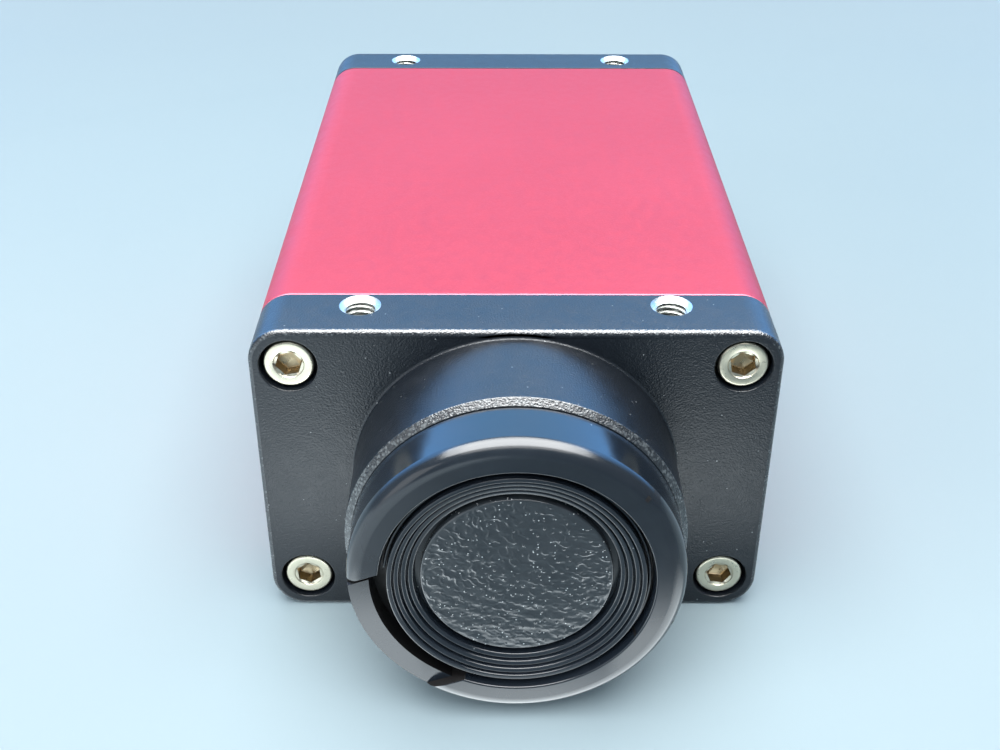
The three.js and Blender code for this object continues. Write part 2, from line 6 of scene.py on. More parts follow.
import bmesh
import bpy
import numpy as np
from mathutils import Matrix, Vector, geometry, noise


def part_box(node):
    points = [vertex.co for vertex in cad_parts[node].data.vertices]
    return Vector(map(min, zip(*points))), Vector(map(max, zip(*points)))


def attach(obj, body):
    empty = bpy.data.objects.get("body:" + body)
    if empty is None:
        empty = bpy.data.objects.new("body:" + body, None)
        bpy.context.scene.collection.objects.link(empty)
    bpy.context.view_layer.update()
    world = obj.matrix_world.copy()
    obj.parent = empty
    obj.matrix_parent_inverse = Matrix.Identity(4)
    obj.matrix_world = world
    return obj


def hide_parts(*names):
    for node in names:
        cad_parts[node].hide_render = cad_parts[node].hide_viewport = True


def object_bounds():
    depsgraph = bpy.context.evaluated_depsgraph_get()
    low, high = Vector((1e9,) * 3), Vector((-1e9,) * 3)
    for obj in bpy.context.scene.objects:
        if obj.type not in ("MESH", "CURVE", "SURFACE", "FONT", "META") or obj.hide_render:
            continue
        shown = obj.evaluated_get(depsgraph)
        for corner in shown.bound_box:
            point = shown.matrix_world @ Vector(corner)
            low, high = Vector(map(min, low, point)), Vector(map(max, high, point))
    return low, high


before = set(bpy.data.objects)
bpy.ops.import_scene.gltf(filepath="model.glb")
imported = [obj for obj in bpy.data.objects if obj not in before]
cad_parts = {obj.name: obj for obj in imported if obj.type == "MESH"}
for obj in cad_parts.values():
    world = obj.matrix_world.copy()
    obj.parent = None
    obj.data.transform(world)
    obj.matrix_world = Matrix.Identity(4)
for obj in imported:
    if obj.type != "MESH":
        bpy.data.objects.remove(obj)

cad_box = [list(corner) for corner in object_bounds()]

# ------------------------------------------------------------------ sizes and places
# Layout units are millimetres: x and z as in the frame, y from the front plate's front face.
MM = 0.001
NOSE_LENGTH = 9.15
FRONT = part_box("front_plate")[0].y + NOSE_LENGTH * MM   # the layout's y = 0, in metres


class Piece:
    """The place and size of a CAD piece in layout millimetres."""

    def __init__(self, name):
        low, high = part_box(name)
        self.x, self.z = (low.x + high.x) / 2 / MM, (low.z + high.z) / 2 / MM
        self.width, self.height = (high.x - low.x) / MM, (high.z - low.z) / MM
        self.front, self.rear = (low.y - FRONT) / MM, (high.y - FRONT) / MM


PLATE = Piece("front_plate")
SLEEVE = Piece("housing_sleeve")
JACK = Piece("network_jack_shield")
SHELL = Piece("power_socket_shell")
SHELL_R = SHELL.width / 2
LIGHTS = [Piece("status_light_pipe_%d" % k) for k in (1, 2)]

AXIS_Z = PLATE.height / 2                  # height of the lens axis
CORNER_R = 3.0                             # corner radius of the housing section
CORNER_STEPS = 20
REAR_FACE = Piece("rear_plate").rear
SCREW_X, SCREW_Z = 18.7, 11.2              # screw places, from the lens axis
SCREWS = {
    "top_left": (-SCREW_X, AXIS_Z + SCREW_Z), "top_right": (SCREW_X, AXIS_Z + SCREW_Z),
    "bottom_left": (-SCREW_X, AXIS_Z - SCREW_Z), "bottom_right": (SCREW_X, AXIS_Z - SCREW_Z),
}


# ------------------------------------------------------------------ mesh building
class Build:
    """Collects vertices and faces in layout millimetres and makes one mesh object."""

    def __init__(self):
        self.points, self.faces, self.slots, self.smooth = [], [], [], []
        self.slot = 0                      # material slot of the next faces

    def loop(self, points):
        first = len(self.points)
        self.points.extend(tuple(point) for point in points)
        return list(range(first, first + len(points)))

    def face(self, corners, smooth=True):
        self.faces.append(tuple(corners))
        self.slots.append(self.slot)
        self.smooth.append(smooth)

    def strip(self, a, b, skip=(), smooth=True):
        """Quads between two closed loops."""
        n = len(a)
        for i in range(n):
            if i not in skip:
                j = (i + 1) % n
                self.face((a[i], a[j], b[j], b[i]), smooth)

    def skin(self, loops, smooth=True):
        for a, b in zip(loops, loops[1:]):
            self.strip(a, b, smooth=smooth)

    def fan(self, loop, centre, smooth=True):
        middle = self.loop([centre])[0]
        for i, corner in enumerate(loop):
            self.face((corner, loop[(i + 1) % len(loop)], middle), smooth)

    def fill(self, loops):
        """Flat faces inside the first loop and outside the others."""
        outlines = [[Vector(self.points[i]) for i in loop] for loop in loops]
        corners = [i for loop in loops for i in loop]
        for triangle in geometry.tessellate_polygon(outlines):
            a, b, c = (corners[k] for k in triangle)
            if a != b and b != c and c != a:
                self.face((a, b, c), smooth=False)

    def turned(self, profile, cx, cz, n):
        """Revolves (radius, y) pairs about Y through (cx, cz); radius 0 closes on the axis."""
        loops = [self.loop([(cx, y, cz)] if radius < 1e-9 else circle(cx, cz, radius, y, n))
                 for radius, y in profile]
        for a, b in zip(loops, loops[1:]):
            if len(a) == 1:
                for i in range(n):
                    self.face((a[0], b[(i + 1) % n], b[i]))
            elif len(b) == 1:
                for i in range(n):
                    self.face((a[i], a[(i + 1) % n], b[0]))
            else:
                self.strip(a, b)

    def mesh(self, name, sharp=32.0):
        mesh = bpy.data.meshes.new(name)
        mesh.from_pydata([(x * MM, y * MM + FRONT, z * MM) for x, y, z in self.points],
                         [], self.faces)
        mesh.polygons.foreach_set("material_index", self.slots)
        mesh.polygons.foreach_set("use_smooth", self.smooth)
        bm = bmesh.new()
        bm.from_mesh(mesh)
        bmesh.ops.remove_doubles(bm, verts=bm.verts, dist=2e-7)
        bmesh.ops.dissolve_degenerate(bm, edges=bm.edges, dist=1e-8)
        bmesh.ops.recalc_face_normals(bm, faces=bm.faces)
        if bm.calc_volume(signed=True) < 0:
            bmesh.ops.reverse_faces(bm, faces=bm.faces)
        bm.to_mesh(mesh)
        bm.free()
        mesh.set_sharp_from_angle(angle=math.radians(sharp))
        mesh.update()
        return mesh

    def obj(self, name, materials, sharp=32.0):
        obj = bpy.data.objects.new(name, self.mesh(name, sharp))
        bpy.context.scene.collection.objects.link(obj)
        for material in materials:
            obj.data.materials.append(material)
        return obj

    def finish(self, name, materials, replaces, sharp=32.0):
        """Makes the object and registers it as part of the housing."""
        register(self.obj(name, materials, sharp), "housing", replaces)


def register(obj, group, replaces):
    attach(obj, group)
    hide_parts(replaces)


def rounded(points, step=11.0, guard=0.05):
    """A 2-D polyline with filleted corners: points are (a, b) or (a, b, radius).
    step is the arc step in degrees; guard puts a point this far beyond each end of an arc."""
    corners = [(*point, 0.0)[:3] for point in points]
    last = len(corners) - 1
    line = []
    for i, (x, y, radius) in enumerate(corners):
        if i in (0, last) or radius <= 0:
            line.append((x, y))
            continue
        before, corner, after = (Vector(corners[i + k][:2]) for k in (-1, 0, 1))
        back, ahead = before - corner, after - corner
        back_length, ahead_length = back.length, ahead.length
        back.normalize()
        ahead.normalize()
        angle = math.acos(max(-1, min(1, back.dot(ahead))))
        if angle > math.pi - 0.02:
            line.append((x, y))
            continue
        # two fillets on one edge share it
        back_share = 0.98 if (i == 1 or corners[i - 1][2] <= 0) else 0.49
        ahead_share = 0.98 if (i == last - 1 or corners[i + 1][2] <= 0) else 0.49
        reach = min(radius / math.tan(angle / 2), back_share * back_length,
                    ahead_share * ahead_length)
        radius = reach * math.tan(angle / 2)
        centre = corner + (back + ahead).normalized() * (radius / math.sin(angle / 2))
        start, end = corner + back * reach, corner + ahead * reach
        if guard and back_length - reach > 4 * guard:
            line.append(tuple(start + back * guard))
        n = max(2, int(round(math.degrees(math.pi - angle) / step)))
        u, w = start - centre, end - centre
        sweep = math.atan2(u.x * w.y - u.y * w.x, u.dot(w))
        for k in range(n + 1):
            cos, sin = math.cos(sweep * k / n), math.sin(sweep * k / n)
            line.append((centre.x + u.x * cos - u.y * sin, centre.y + u.x * sin + u.y * cos))
        if guard and ahead_length - reach > 4 * guard:
            line.append(tuple(end + ahead * guard))
    return line


def rounded_rect(cx, cz, width, height, radius, y, inset=0.0, steps=CORNER_STEPS, guard=0.2):
    """A rounded rectangle in the X-Z plane, inset about fixed corner centres. It starts with
    the bottom flat; each flat's two points are followed by the steps + 1 of a corner."""
    x0, x1, z0, z1 = cx - width / 2, cx + width / 2, cz - height / 2, cz + height / 2
    arc = radius - inset
    # the two ends of a flat, then the centre and first angle of the corner after it
    sides = [
        ((x0 + radius + guard, z0 + inset), (x1 - radius - guard, z0 + inset),
         (x1 - radius, z0 + radius), -90),
        ((x1 - inset, z0 + radius + guard), (x1 - inset, z1 - radius - guard),
         (x1 - radius, z1 - radius), 0),
        ((x1 - radius - guard, z1 - inset), (x0 + radius + guard, z1 - inset),
         (x0 + radius, z1 - radius), 90),
        ((x0 + inset, z1 - radius - guard), (x0 + inset, z0 + radius + guard),
         (x0 + radius, z0 + radius), 180),
    ]
    points = []
    for start, end, (px, pz), first in sides:
        points += [(start[0], y, start[1]), (end[0], y, end[1])]
        for k in range(steps + 1):
            t = math.radians(first + 90 * k / steps)
            points.append((px + arc * math.cos(t), y, pz + arc * math.sin(t)))
    return points


def ring(cx, cz, radii, y, turn=0.0):
    """A closed loop in the X-Z plane with one radius per point."""
    n = len(radii)
    return [(cx + radius * math.cos(2 * math.pi * i / n + turn), y,
             cz + radius * math.sin(2 * math.pi * i / n + turn))
            for i, radius in enumerate(radii)]


def circle(cx, cz, radius, y, n=64):
    return ring(cx, cz, [radius] * n, y)


def wave(x):
    """Depth, 0 to 1, of a thread at a fraction of its pitch."""
    x = x % 1.0
    if x < 0.12 or x > 0.92:
        return 0.0
    if x < 0.46:
        return (x - 0.12) / 0.34
    if x < 0.58:
        return 1.0
    return (0.92 - x) / 0.34


def ease(t):
    t = max(0.0, min(1.0, t))
    return t * t * (3 - 2 * t)


def thread(part, ring_at, start, t0, t1, minor, major, pitch, per=7):
    """An internal thread from t0 to t1, with per rings to a turn. ring_at(radii, t) gives a
    ring's points; start is the loop before it. Returns the last loop."""
    n = len(start)
    runout = 0.5 * pitch
    count = max(2, int(round((t1 - t0) / pitch * per)))
    loops = [start]
    for k in range(count + 1):
        t = t0 + (t1 - t0) * k / count
        depth = ease((t - t0) / runout) * ease((t1 - t) / runout)
        radii = [minor + (major - minor) * depth * wave(t / pitch + i / n) for i in range(n)]
        loops.append(part.loop(ring_at(radii, t)))
    part.skin(loops)
    return loops[-1]


def y_hole(part, cx, cz, profile, n=64):
    """A round hole along Y: profile is (radius, y) from the face inwards.
    Returns its first and last loops."""
    loops = [part.loop(circle(cx, cz, radius, y, n)) for radius, y in profile]
    part.skin(loops)
    return loops[0], loops[-1]


def housing_loops(part, profile):
    """Loops of the housing's outer section for (inset, y) pairs."""
    return [part.loop(rounded_rect(0, AXIS_Z, PLATE.width, PLATE.height, CORNER_R, y, inset))
            for inset, y in profile]


def jack_loops(part, margin, radius, profile, steps=6):
    """Loops of the network jack's section, grown by margin, for (inset, y) pairs."""
    return [part.loop(rounded_rect(JACK.x, JACK.z, JACK.width + margin, JACK.height + margin,
                                   radius, y, inset, steps, guard=0.1))
            for inset, y in profile]


def bar(part, x0, x1, y0, y1, z0, z1, chamfer=0.04):
    """A small bar with chamfered long edges along Y."""
    section = [(x0 + chamfer, z0), (x1 - chamfer, z0), (x1, z0 + chamfer), (x1, z1 - chamfer),
               (x1 - chamfer, z1), (x0 + chamfer, z1), (x0, z1 - chamfer), (x0, z0 + chamfer)]
    cx, cz = (x0 + x1) / 2, (z0 + z1) / 2
    end = 1 - chamfer / max(0.05, min(x1 - x0, z1 - z0))
    loops = [part.loop([(cx + (x - cx) * scale, y, cz + (z - cz) * scale) for x, z in section])
             for y, scale in ((y0, end), (y0 + chamfer, 1), (y1 - chamfer, 1), (y1, end))]
    part.skin(loops, smooth=False)
    part.fill([loops[0]])
    part.fill([loops[-1]])


def inset_loops(part, outline, profile):
    """Loops of an anticlockwise (x, z) outline, moved inwards by inset, for (inset, y) pairs."""
    n = len(outline)
    loops = []
    for inset, y in profile:
        points = []
        for i in range(n):
            before, corner, after = (Vector(outline[(i + k) % n]) for k in (-1, 0, 1))
            edge_in, edge_out = (corner - before).normalized(), (after - corner).normalized()
            normal = Vector((-edge_in.y, edge_in.x))
            mitre = normal + Vector((-edge_out.y, edge_out.x))
            moved = corner + mitre / max(0.2, mitre.dot(normal)) * inset
            points.append((moved.x, y, moved.y))
        loops.append(part.loop(points))
    return loops


# ------------------------------------------------------------------ shader building
class Nodes:
    """Short calls for making the nodes of a material or a world."""

    def __init__(self, owner):
        owner.use_nodes = True
        self.tree = owner.node_tree
        self.tree.nodes.clear()

    def put(self, socket, value):
        if isinstance(value, bpy.types.NodeSocket):
            self.tree.links.new(value, socket)
        else:
            socket.default_value = value

    def node(self, kind, inputs=(), **props):
        node = self.tree.nodes.new(kind)
        for name, value in props.items():
            setattr(node, name, value)
        for key, value in dict(inputs).items():
            self.put(node.inputs[key], value)
        return node

    def ramp(self, value, span=(0.3, 0.7), to=(0.0, 1.0), kind="LINEAR"):
        """Maps span onto to, clamped."""
        return self.node("ShaderNodeMapRange", {
            "Value": value, "From Min": span[0], "From Max": span[1],
            "To Min": to[0], "To Max": to[1]}, clamp=True, interpolation_type=kind).outputs[0]

    def math(self, operation, a, b=0.0):
        return self.node("ShaderNodeMath", {0: a, 1: b}, operation=operation).outputs[0]

    def mix(self, factor, a, b):
        a, b = (c if isinstance(c, bpy.types.NodeSocket) else (*c, 1.0) for c in (a, b))
        return self.node("ShaderNodeMix", {"Factor": factor, 6: a, 7: b},
                         data_type="RGBA").outputs[2]


class Mat(Nodes):
    """A material with one Principled shader, textured in object coordinates."""

    def __init__(self, name):
        self.material = bpy.data.materials.new(name)
        super().__init__(self.material)
        self.output = self.node("ShaderNodeOutputMaterial")
        self.shader = self.node("ShaderNodeBsdfPrincipled")
        self.put(self.output.inputs[0], self.shader.outputs[0])
        self.place = self.node("ShaderNodeTexCoord").outputs["Object"]

    def set(self, **inputs):
        for name, value in inputs.items():
            self.put(self.shader.inputs[name.replace("_", " ")], value)

    def scaled(self, scale):
        return self.node("ShaderNodeMapping", {"Vector": self.place, "Scale": scale}).outputs[0]

    def noise(self, scale, detail=3.0, rough=0.55, place=None, distortion=0.0):
        return self.node("ShaderNodeTexNoise", {
            "Vector": place or self.place, "Scale": scale, "Detail": detail,
            "Roughness": rough, "Distortion": distortion}).outputs["Fac"]

    def voronoi(self, scale, feature="F1", randomness=1.0):
        return self.node("ShaderNodeTexVoronoi", feature=feature, inputs={
            "Vector": self.place, "Scale": scale, "Randomness": randomness})

    def red_of(self, colour):
        return self.node("ShaderNodeSeparateColor", {0: colour}).outputs[0]

    def specks(self, scale, radius, above):
        """Dots in the cells whose random value is above a level."""
        cells = self.voronoi(scale)
        return self.math("MULTIPLY",
                         self.math("LESS_THAN", cells.outputs["Distance"], radius),
                         self.math("GREATER_THAN", self.red_of(cells.outputs["Color"]), above))

    def varied(self, scale, colour, vary):
        """The colour, drifting by the fraction vary either way."""
        return self.mix(self.ramp(self.noise(scale)), tuple(c * (1 - vary) for c in colour),
                        tuple(min(1.0, c * (1 + vary)) for c in colour))

    def bump(self, height, strength, distance):
        """Sets the normal from a height texture; distance is in metres."""
        self.set(Normal=self.node("ShaderNodeBump", {
            "Height": height, "Strength": strength, "Distance": distance}).outputs[0])


# ------------------------------------------------------------------ materials
def black_coat(name, edge_wear_and_glint=0.0):
    """Fine textured powder coat with sparse painted glints; edge_wear_and_glint is the share of
    bright cells on an edge, partly wear and partly a painted sparkle highlight.
    """
    mat = Mat(name)
    broad = mat.noise(scale=90)
    grain = mat.noise(scale=7000, detail=2, rough=0.6)
    pebble = mat.voronoi(scale=6800, feature="SMOOTH_F1").outputs["Distance"]
    # painted glints: sparse pale specks in the base colour
    glint = mat.specks(scale=2600, radius=0.16, above=0.965)
    base = mat.mix(mat.ramp(broad, span=(0.35, 0.65)),
                   (0.0055, 0.0085, 0.0135), (0.0085, 0.0120, 0.0175))
    base = mat.mix(mat.math("MULTIPLY", mat.ramp(grain, span=(0.5, 0.8)), 0.5),
                   base, (0.018, 0.024, 0.031))
    base = mat.mix(glint, base, (0.26, 0.28, 0.29))
    # bright cells on an edge or chamfer: partly wear, partly a painted sparkle highlight
    if edge_wear_and_glint:
        cells = mat.voronoi(scale=4300)
        chosen = mat.ramp(mat.red_of(cells.outputs["Color"]), span=(1.0 - edge_wear_and_glint, 1.02 - edge_wear_and_glint))
        mottle = mat.math("MULTIPLY", chosen, mat.ramp(cells.outputs["Distance"], span=(0.75, 0.35)))
        base = mat.mix(mat.math("MULTIPLY", mottle, 0.8), base, (0.11, 0.125, 0.135))
    rough = mat.ramp(mat.noise(scale=700, detail=4), to=(0.22, 0.30) if edge_wear_and_glint else (0.29, 0.37))
    mat.set(Base_Color=base, Roughness=rough, Specular_IOR_Level=0.85 if edge_wear_and_glint else 0.40)
    height = mat.math("ADD", mat.math("MULTIPLY", grain, 0.7), mat.math("MULTIPLY", pebble, 0.8))
    mat.bump(height, strength=1.0, distance=0.000045 if edge_wear_and_glint else 0.000032)
    return mat.material


def red_anodised(name, edge=False):
    """Bead-blasted, red anodised aluminium; edge gives the lighter red of the sleeve's end bevels, a
    painted highlight.
    """
    mat = Mat(name)
    fine = mat.noise(scale=6500, detail=2, rough=0.6)
    mid = mat.noise(scale=900, detail=4)
    if edge:
        # lighter red for the end bevels: a painted highlight
        base = mat.mix(mat.ramp(mid), (0.56, 0.12, 0.17), (0.62, 0.17, 0.22))
    else:
        broad = mat.noise(scale=45)
        base = mat.mix(mat.ramp(broad), (0.360, 0.041, 0.066), (0.382, 0.045, 0.072))
        base = mat.mix(mat.math("MULTIPLY", mat.ramp(fine, span=(0.45, 0.75)), 0.35),
                       base, (0.45, 0.068, 0.094))
    mat.set(Base_Color=base, Metallic=0.2 if edge else 0.30,
            Roughness=mat.ramp(mid, to=(0.26, 0.34) if edge else (0.46, 0.54)),
            Specular_IOR_Level=0.12)
    mat.bump(fine, strength=0.35, distance=0.00003)
    return mat.material


def cap_plastic():
    """Smooth moulded black plastic with faint rubbing, dust and handling marks."""
    mat = Mat("black_moulded_plastic")
    smear = mat.noise(scale=140, detail=5, rough=0.6, distortion=1.2)
    fine = mat.noise(scale=2600)
    mottle = mat.noise(scale=320, detail=4, rough=0.6, place=mat.scaled((1.0, 1.0, 0.25)))
    dust = mat.specks(scale=900, radius=0.06, above=0.93)
    base = mat.mix(mat.ramp(smear, span=(0.35, 0.7)),
                   (0.0100, 0.0145, 0.0215), (0.0140, 0.0195, 0.0275))
    rough = mat.math("ADD", mat.ramp(smear, to=(0.14, 0.21)),
                     mat.ramp(mottle, span=(0.45, 0.75), to=(0.0, 0.06)))
    mat.set(Base_Color=mat.mix(dust, base, (0.20, 0.21, 0.22)), Roughness=rough,
            Specular_IOR_Level=0.5)
    mat.bump(fine, strength=0.05, distance=0.00003)
    return mat.material


def grain_plastic():
    """The leather-grained centre of the cap: satin plastic with painted glints as pale specks."""
    mat = Mat("grained_plastic")
    fine = mat.noise(scale=3800)
    base = mat.mix(mat.ramp(mat.noise(scale=500), span=(0.35, 0.7)),
                   (0.0265, 0.0330, 0.0400), (0.036, 0.043, 0.0505))
    # painted glints: pale specks in the base colour
    speck = mat.specks(scale=3000, radius=0.15, above=0.60)
    base = mat.mix(speck, base, (0.62, 0.66, 0.68))
    mat.set(Base_Color=base, Roughness=mat.ramp(fine, to=(0.12, 0.21)), Specular_IOR_Level=0.55)
    mat.bump(fine, strength=0.25, distance=0.00003)
    return mat.material


def metal(name, colour, rough, streak=None, scale=2500, vary=0.12, bump=0.08, dark=None):
    """Bare or plated metal; streak stretches its texture and dark is the colour of darker blotches:
    stains on the copper block, painted shade in the screw sockets.
    """
    mat = Mat(name)
    fine = mat.noise(scale, detail=4, rough=0.6, place=mat.scaled(streak) if streak else None)
    base = mat.varied(400, colour, vary)
    if dark:
        stain_and_shade = mat.noise(scale=1400, detail=5, rough=0.65)
        base = mat.mix(mat.ramp(stain_and_shade, span=(0.55, 0.8), to=(0.0, 0.6)), base, dark)
    mat.set(Base_Color=base, Metallic=1.0, Roughness=mat.ramp(fine, to=rough))
    mat.bump(fine, strength=bump, distance=0.00004)
    return mat.material


def plastic(name, colour, rough, scale=1800, bump=0.2, vary=0.2, specular=0.5):
    """Any matt or satin non-metal."""
    mat = Mat(name)
    fine = mat.noise(scale, detail=4, rough=0.6)
    mat.set(Base_Color=mat.varied(250, colour, vary), Roughness=mat.ramp(fine, to=rough),
            Specular_IOR_Level=specular)
    mat.bump(fine, strength=bump, distance=0.00004)
    return mat.material


def circuit():
    """Green solder mask over copper traces, with tiny pads."""
    mat = Mat("circuit_board")
    traces = mat.node("ShaderNodeTexBrick", {
        "Scale": 420, "Mortar Size": 0.02, "Vector": mat.scaled((1.0, 1.0, 1.0)),
        "Color1": (0.012, 0.13, 0.07, 1), "Color2": (0.016, 0.16, 0.085, 1),
        "Mortar": (0.03, 0.26, 0.14, 1)})
    cells = mat.voronoi(scale=1100, randomness=0.35)
    pad = mat.math("LESS_THAN", cells.outputs["Distance"], 0.16)
    mat.set(Base_Color=mat.mix(mat.math("MULTIPLY", pad, 0.8), traces.outputs["Color"],
                               (0.72, 0.66, 0.48)),
            Metallic=mat.math("MULTIPLY", pad, 0.9),
            Roughness=mat.ramp(mat.noise(scale=900), to=(0.28, 0.45)))
    mat.bump(traces.outputs["Fac"], strength=0.2, distance=0.00003)
    return mat.material


def window():
    """Clear glass with a faint green-violet coating."""
    mat = Mat("coated_glass")
    broad = mat.noise(scale=200)
    mat.set(Base_Color=mat.mix(mat.ramp(broad, span=(0.35, 0.65)),
                               (0.90, 0.97, 0.95), (0.96, 0.94, 0.99)),
            Roughness=mat.ramp(mat.noise(scale=900), span=(0.4, 0.8), to=(0.0, 0.03)),
            IOR=1.25, Transmission_Weight=1.0,
            Coat_Weight=0.25, Coat_Tint=(0.6, 1.0, 0.8, 1.0))
    mat.bump(mat.noise(scale=60, detail=2), strength=0.01, distance=0.00002)
    return mat.material


def silicon():
    """Sensor surface: dark, slightly iridescent, with a fine grid."""
    mat = Mat("sensor_silicon")
    grid = mat.node("ShaderNodeTexChecker", {"Scale": 9000, "Vector": mat.place}).outputs["Fac"]
    base = mat.mix(grid, (0.05, 0.075, 0.10), (0.075, 0.09, 0.13))
    base = mat.mix(mat.ramp(mat.noise(scale=70, detail=2), span=(0.35, 0.65)),
                   base, (0.10, 0.07, 0.13))
    mat.set(Base_Color=base, Metallic=0.6,
            Roughness=mat.ramp(mat.noise(scale=600, detail=2), to=(0.16, 0.24)))
    mat.bump(grid, strength=0.03, distance=0.00001)
    return mat.material


def light_pipe(name, tint):
    mat = Mat(name)
    mid = mat.noise(scale=900)
    mat.set(Base_Color=mat.mix(mat.ramp(mid), tuple(c * 0.9 for c in tint), tint),
            Roughness=mat.ramp(mid, to=(0.12, 0.28)), Transmission_Weight=0.35,
            Subsurface_Weight=0.2)
    mat.bump(mid, strength=0.1, distance=0.00003)
    return mat.material


COAT = black_coat("black_powder_coat")
# edge and chamfer coats: their bright cells are partly wear and partly a painted sparkle highlight
COAT_EDGE = black_coat("black_powder_coat_edge", edge_wear_and_glint=0.14)
COAT_CHAMFER = black_coat("black_powder_coat_chamfer", edge_wear_and_glint=0.5)
RED = red_anodised("red_anodised_aluminium")
RED_EDGE_HIGHLIGHT = red_anodised("red_anodised_edge_highlight", edge=True)
CAP = cap_plastic()
# darker, duller plastic for the slot's pocket, walls and groove: painted shade
CAP_RECESS_SHADE = plastic("black_plastic_recess_shade", (0.0095, 0.0090, 0.0095), rough=(0.45, 0.58),
                     specular=0.25)
GRAIN = grain_plastic()
BARE = metal("bare_countersink", (0.40, 0.44, 0.455), rough=(0.32, 0.44), vary=0.05, bump=0.03)
# darker metal for the M3 holes' threads: painted shade inside the holes
THREAD_SHADED = metal("cut_thread_shaded", (0.27, 0.28, 0.265), rough=(0.34, 0.46), vary=0.08, bump=0.03)
BLACK_METAL = plastic("black_anodised_thread", (0.022, 0.023, 0.025), rough=(0.36, 0.5),
                      specular=0.6)
STEEL = metal("stainless_steel", (0.585, 0.545, 0.43), rough=(0.26, 0.36), scale=2600,
              vary=0.05, bump=0.025)
# darker, browner steel for the hex sockets' walls and floor: painted shade
SOCKET_STEEL_SHADED = metal("stainless_socket_shaded", (0.42, 0.34, 0.22), rough=(0.24, 0.40), scale=1700,
                     vary=0.16, bump=0.06, dark=(0.20, 0.14, 0.08))
NICKEL = metal("nickel_plate", (0.70, 0.68, 0.63), rough=(0.20, 0.34),
               streak=(1.0, 0.08, 1.0), scale=1500, vary=0.06)
GOLD = metal("gold_plate", (0.90, 0.62, 0.24), rough=(0.16, 0.28), vary=0.06, bump=0.05)
ALU = metal("milled_aluminium", (0.74, 0.75, 0.76), rough=(0.30, 0.46),
            streak=(0.15, 1.0, 1.0), scale=1800)
COPPER = metal("copper_block", (0.80, 0.42, 0.27), rough=(0.26, 0.42), dark=(0.30, 0.13, 0.08))
SOCKET = plastic("black_socket_plastic", (0.022, 0.023, 0.025), rough=(0.38, 0.55))
CHIP = plastic("chip_epoxy", (0.030, 0.031, 0.034), rough=(0.5, 0.66), scale=3200, bump=0.3)
RUBBER = plastic("seal_rubber", (0.018, 0.018, 0.019), rough=(0.66, 0.82), scale=2600,
                 bump=0.35, specular=0.3)
PAD = plastic("gap_filler", (0.36, 0.40, 0.45), rough=(0.72, 0.9), scale=1500, bump=0.4,
              specular=0.25)
CERAMIC = plastic("white_ceramic", (0.78, 0.77, 0.73), rough=(0.42, 0.58), scale=2400,
                  bump=0.12, vary=0.05)
FLEX = plastic("amber_flex_film", (0.46, 0.21, 0.055), rough=(0.22, 0.36), scale=900, bump=0.06)
BOARD = circuit()
GLASS = window()
SILICON = silicon()
PIPE_COLOURS = [light_pipe("amber_light_pipe", (0.86, 0.74, 0.50)),
                light_pipe("green_light_pipe", (0.62, 0.80, 0.56))]

# ------------------------------------------------------------------ end plates
PLATE_MATERIALS = [COAT, BARE, BLACK_METAL, COAT_EDGE, COAT_CHAMFER, THREAD_SHADED]
IN_COAT, IN_BARE, IN_BLACK, IN_EDGE, IN_CHAMFER, IN_THREAD = range(6)
BOTTOM_FLAT, TOP_FLAT = 0, 2 * (CORNER_STEPS + 3)   # first points of the long flats
MOUNT_X = (-13.0, 13.0)                             # M3 holes in the long flats
MOUNT_FROM_FRONT, MOUNT_FROM_SLEEVE = 4.4, 2.9
JACK_SCREW_Z = 8.9                                  # small threaded holes by the jack

# (radius, y, fillet): from the plate's face along the nose and just into its mouth
NOSE_SEGMENTS = 192
NOSE_PROFILE = [(14.3, 0.0), (13.85, 0.0, 0.22), (13.85, -8.65, 0.06),
                (13.35, -NOSE_LENGTH, 0.05), (12.95, -NOSE_LENGTH, 0.03), (12.45, -8.75)]
# (radius, y, fillet): the two steps behind the nose thread
BORE_PROFILE = [(12.3, -2.55), (11.35, -2.55, 0.05), (11.35, -0.9), (10.2, -0.9, 0.05),
                (10.2, SLEEVE.front)]


def mount_hole(part, cx, cy, top):
    """One M3 hole in a top or bottom flat: bare countersink, thread and drill point."""
    n = 56
    face, inward = (PLATE.height, -1.0) if top else (0.0, 1.0)

    def at_depth(radii, depth):
        return [(cx + radius * math.cos(2 * math.pi * i / n),
                 cy + radius * math.sin(2 * math.pi * i / n), face + inward * depth)
                for i, radius in enumerate(radii)]

    sink = [part.loop(at_depth([radius] * n, depth))
            for radius, depth in ((1.75, 0.0), (1.72, 0.035), (1.36, 0.40))]
    part.slot = IN_BARE
    part.skin(sink)
    # the thread takes the darker metal: painted shade
    part.slot = IN_THREAD
    last = thread(part, at_depth, sink[-1], 0.44, 3.3, minor=1.26, major=1.52, pitch=0.5)
    part.fan(last, (cx, cy, face + inward * 3.4))
    part.slot = IN_COAT
    return sink[0]


def drilled_band(part, front, rear, hole_y):
    """The long band of an end plate, with M3 holes in its top and bottom flats."""
    part.strip(front, rear, skip=(BOTTOM_FLAT, TOP_FLAT))
    for first, top in ((BOTTOM_FLAT, False), (TOP_FLAT, True)):
        edge = [front[first], front[first + 1], rear[first + 1], rear[first]]
        part.fill([edge] + [mount_hole(part, x, hole_y, top) for x in MOUNT_X])


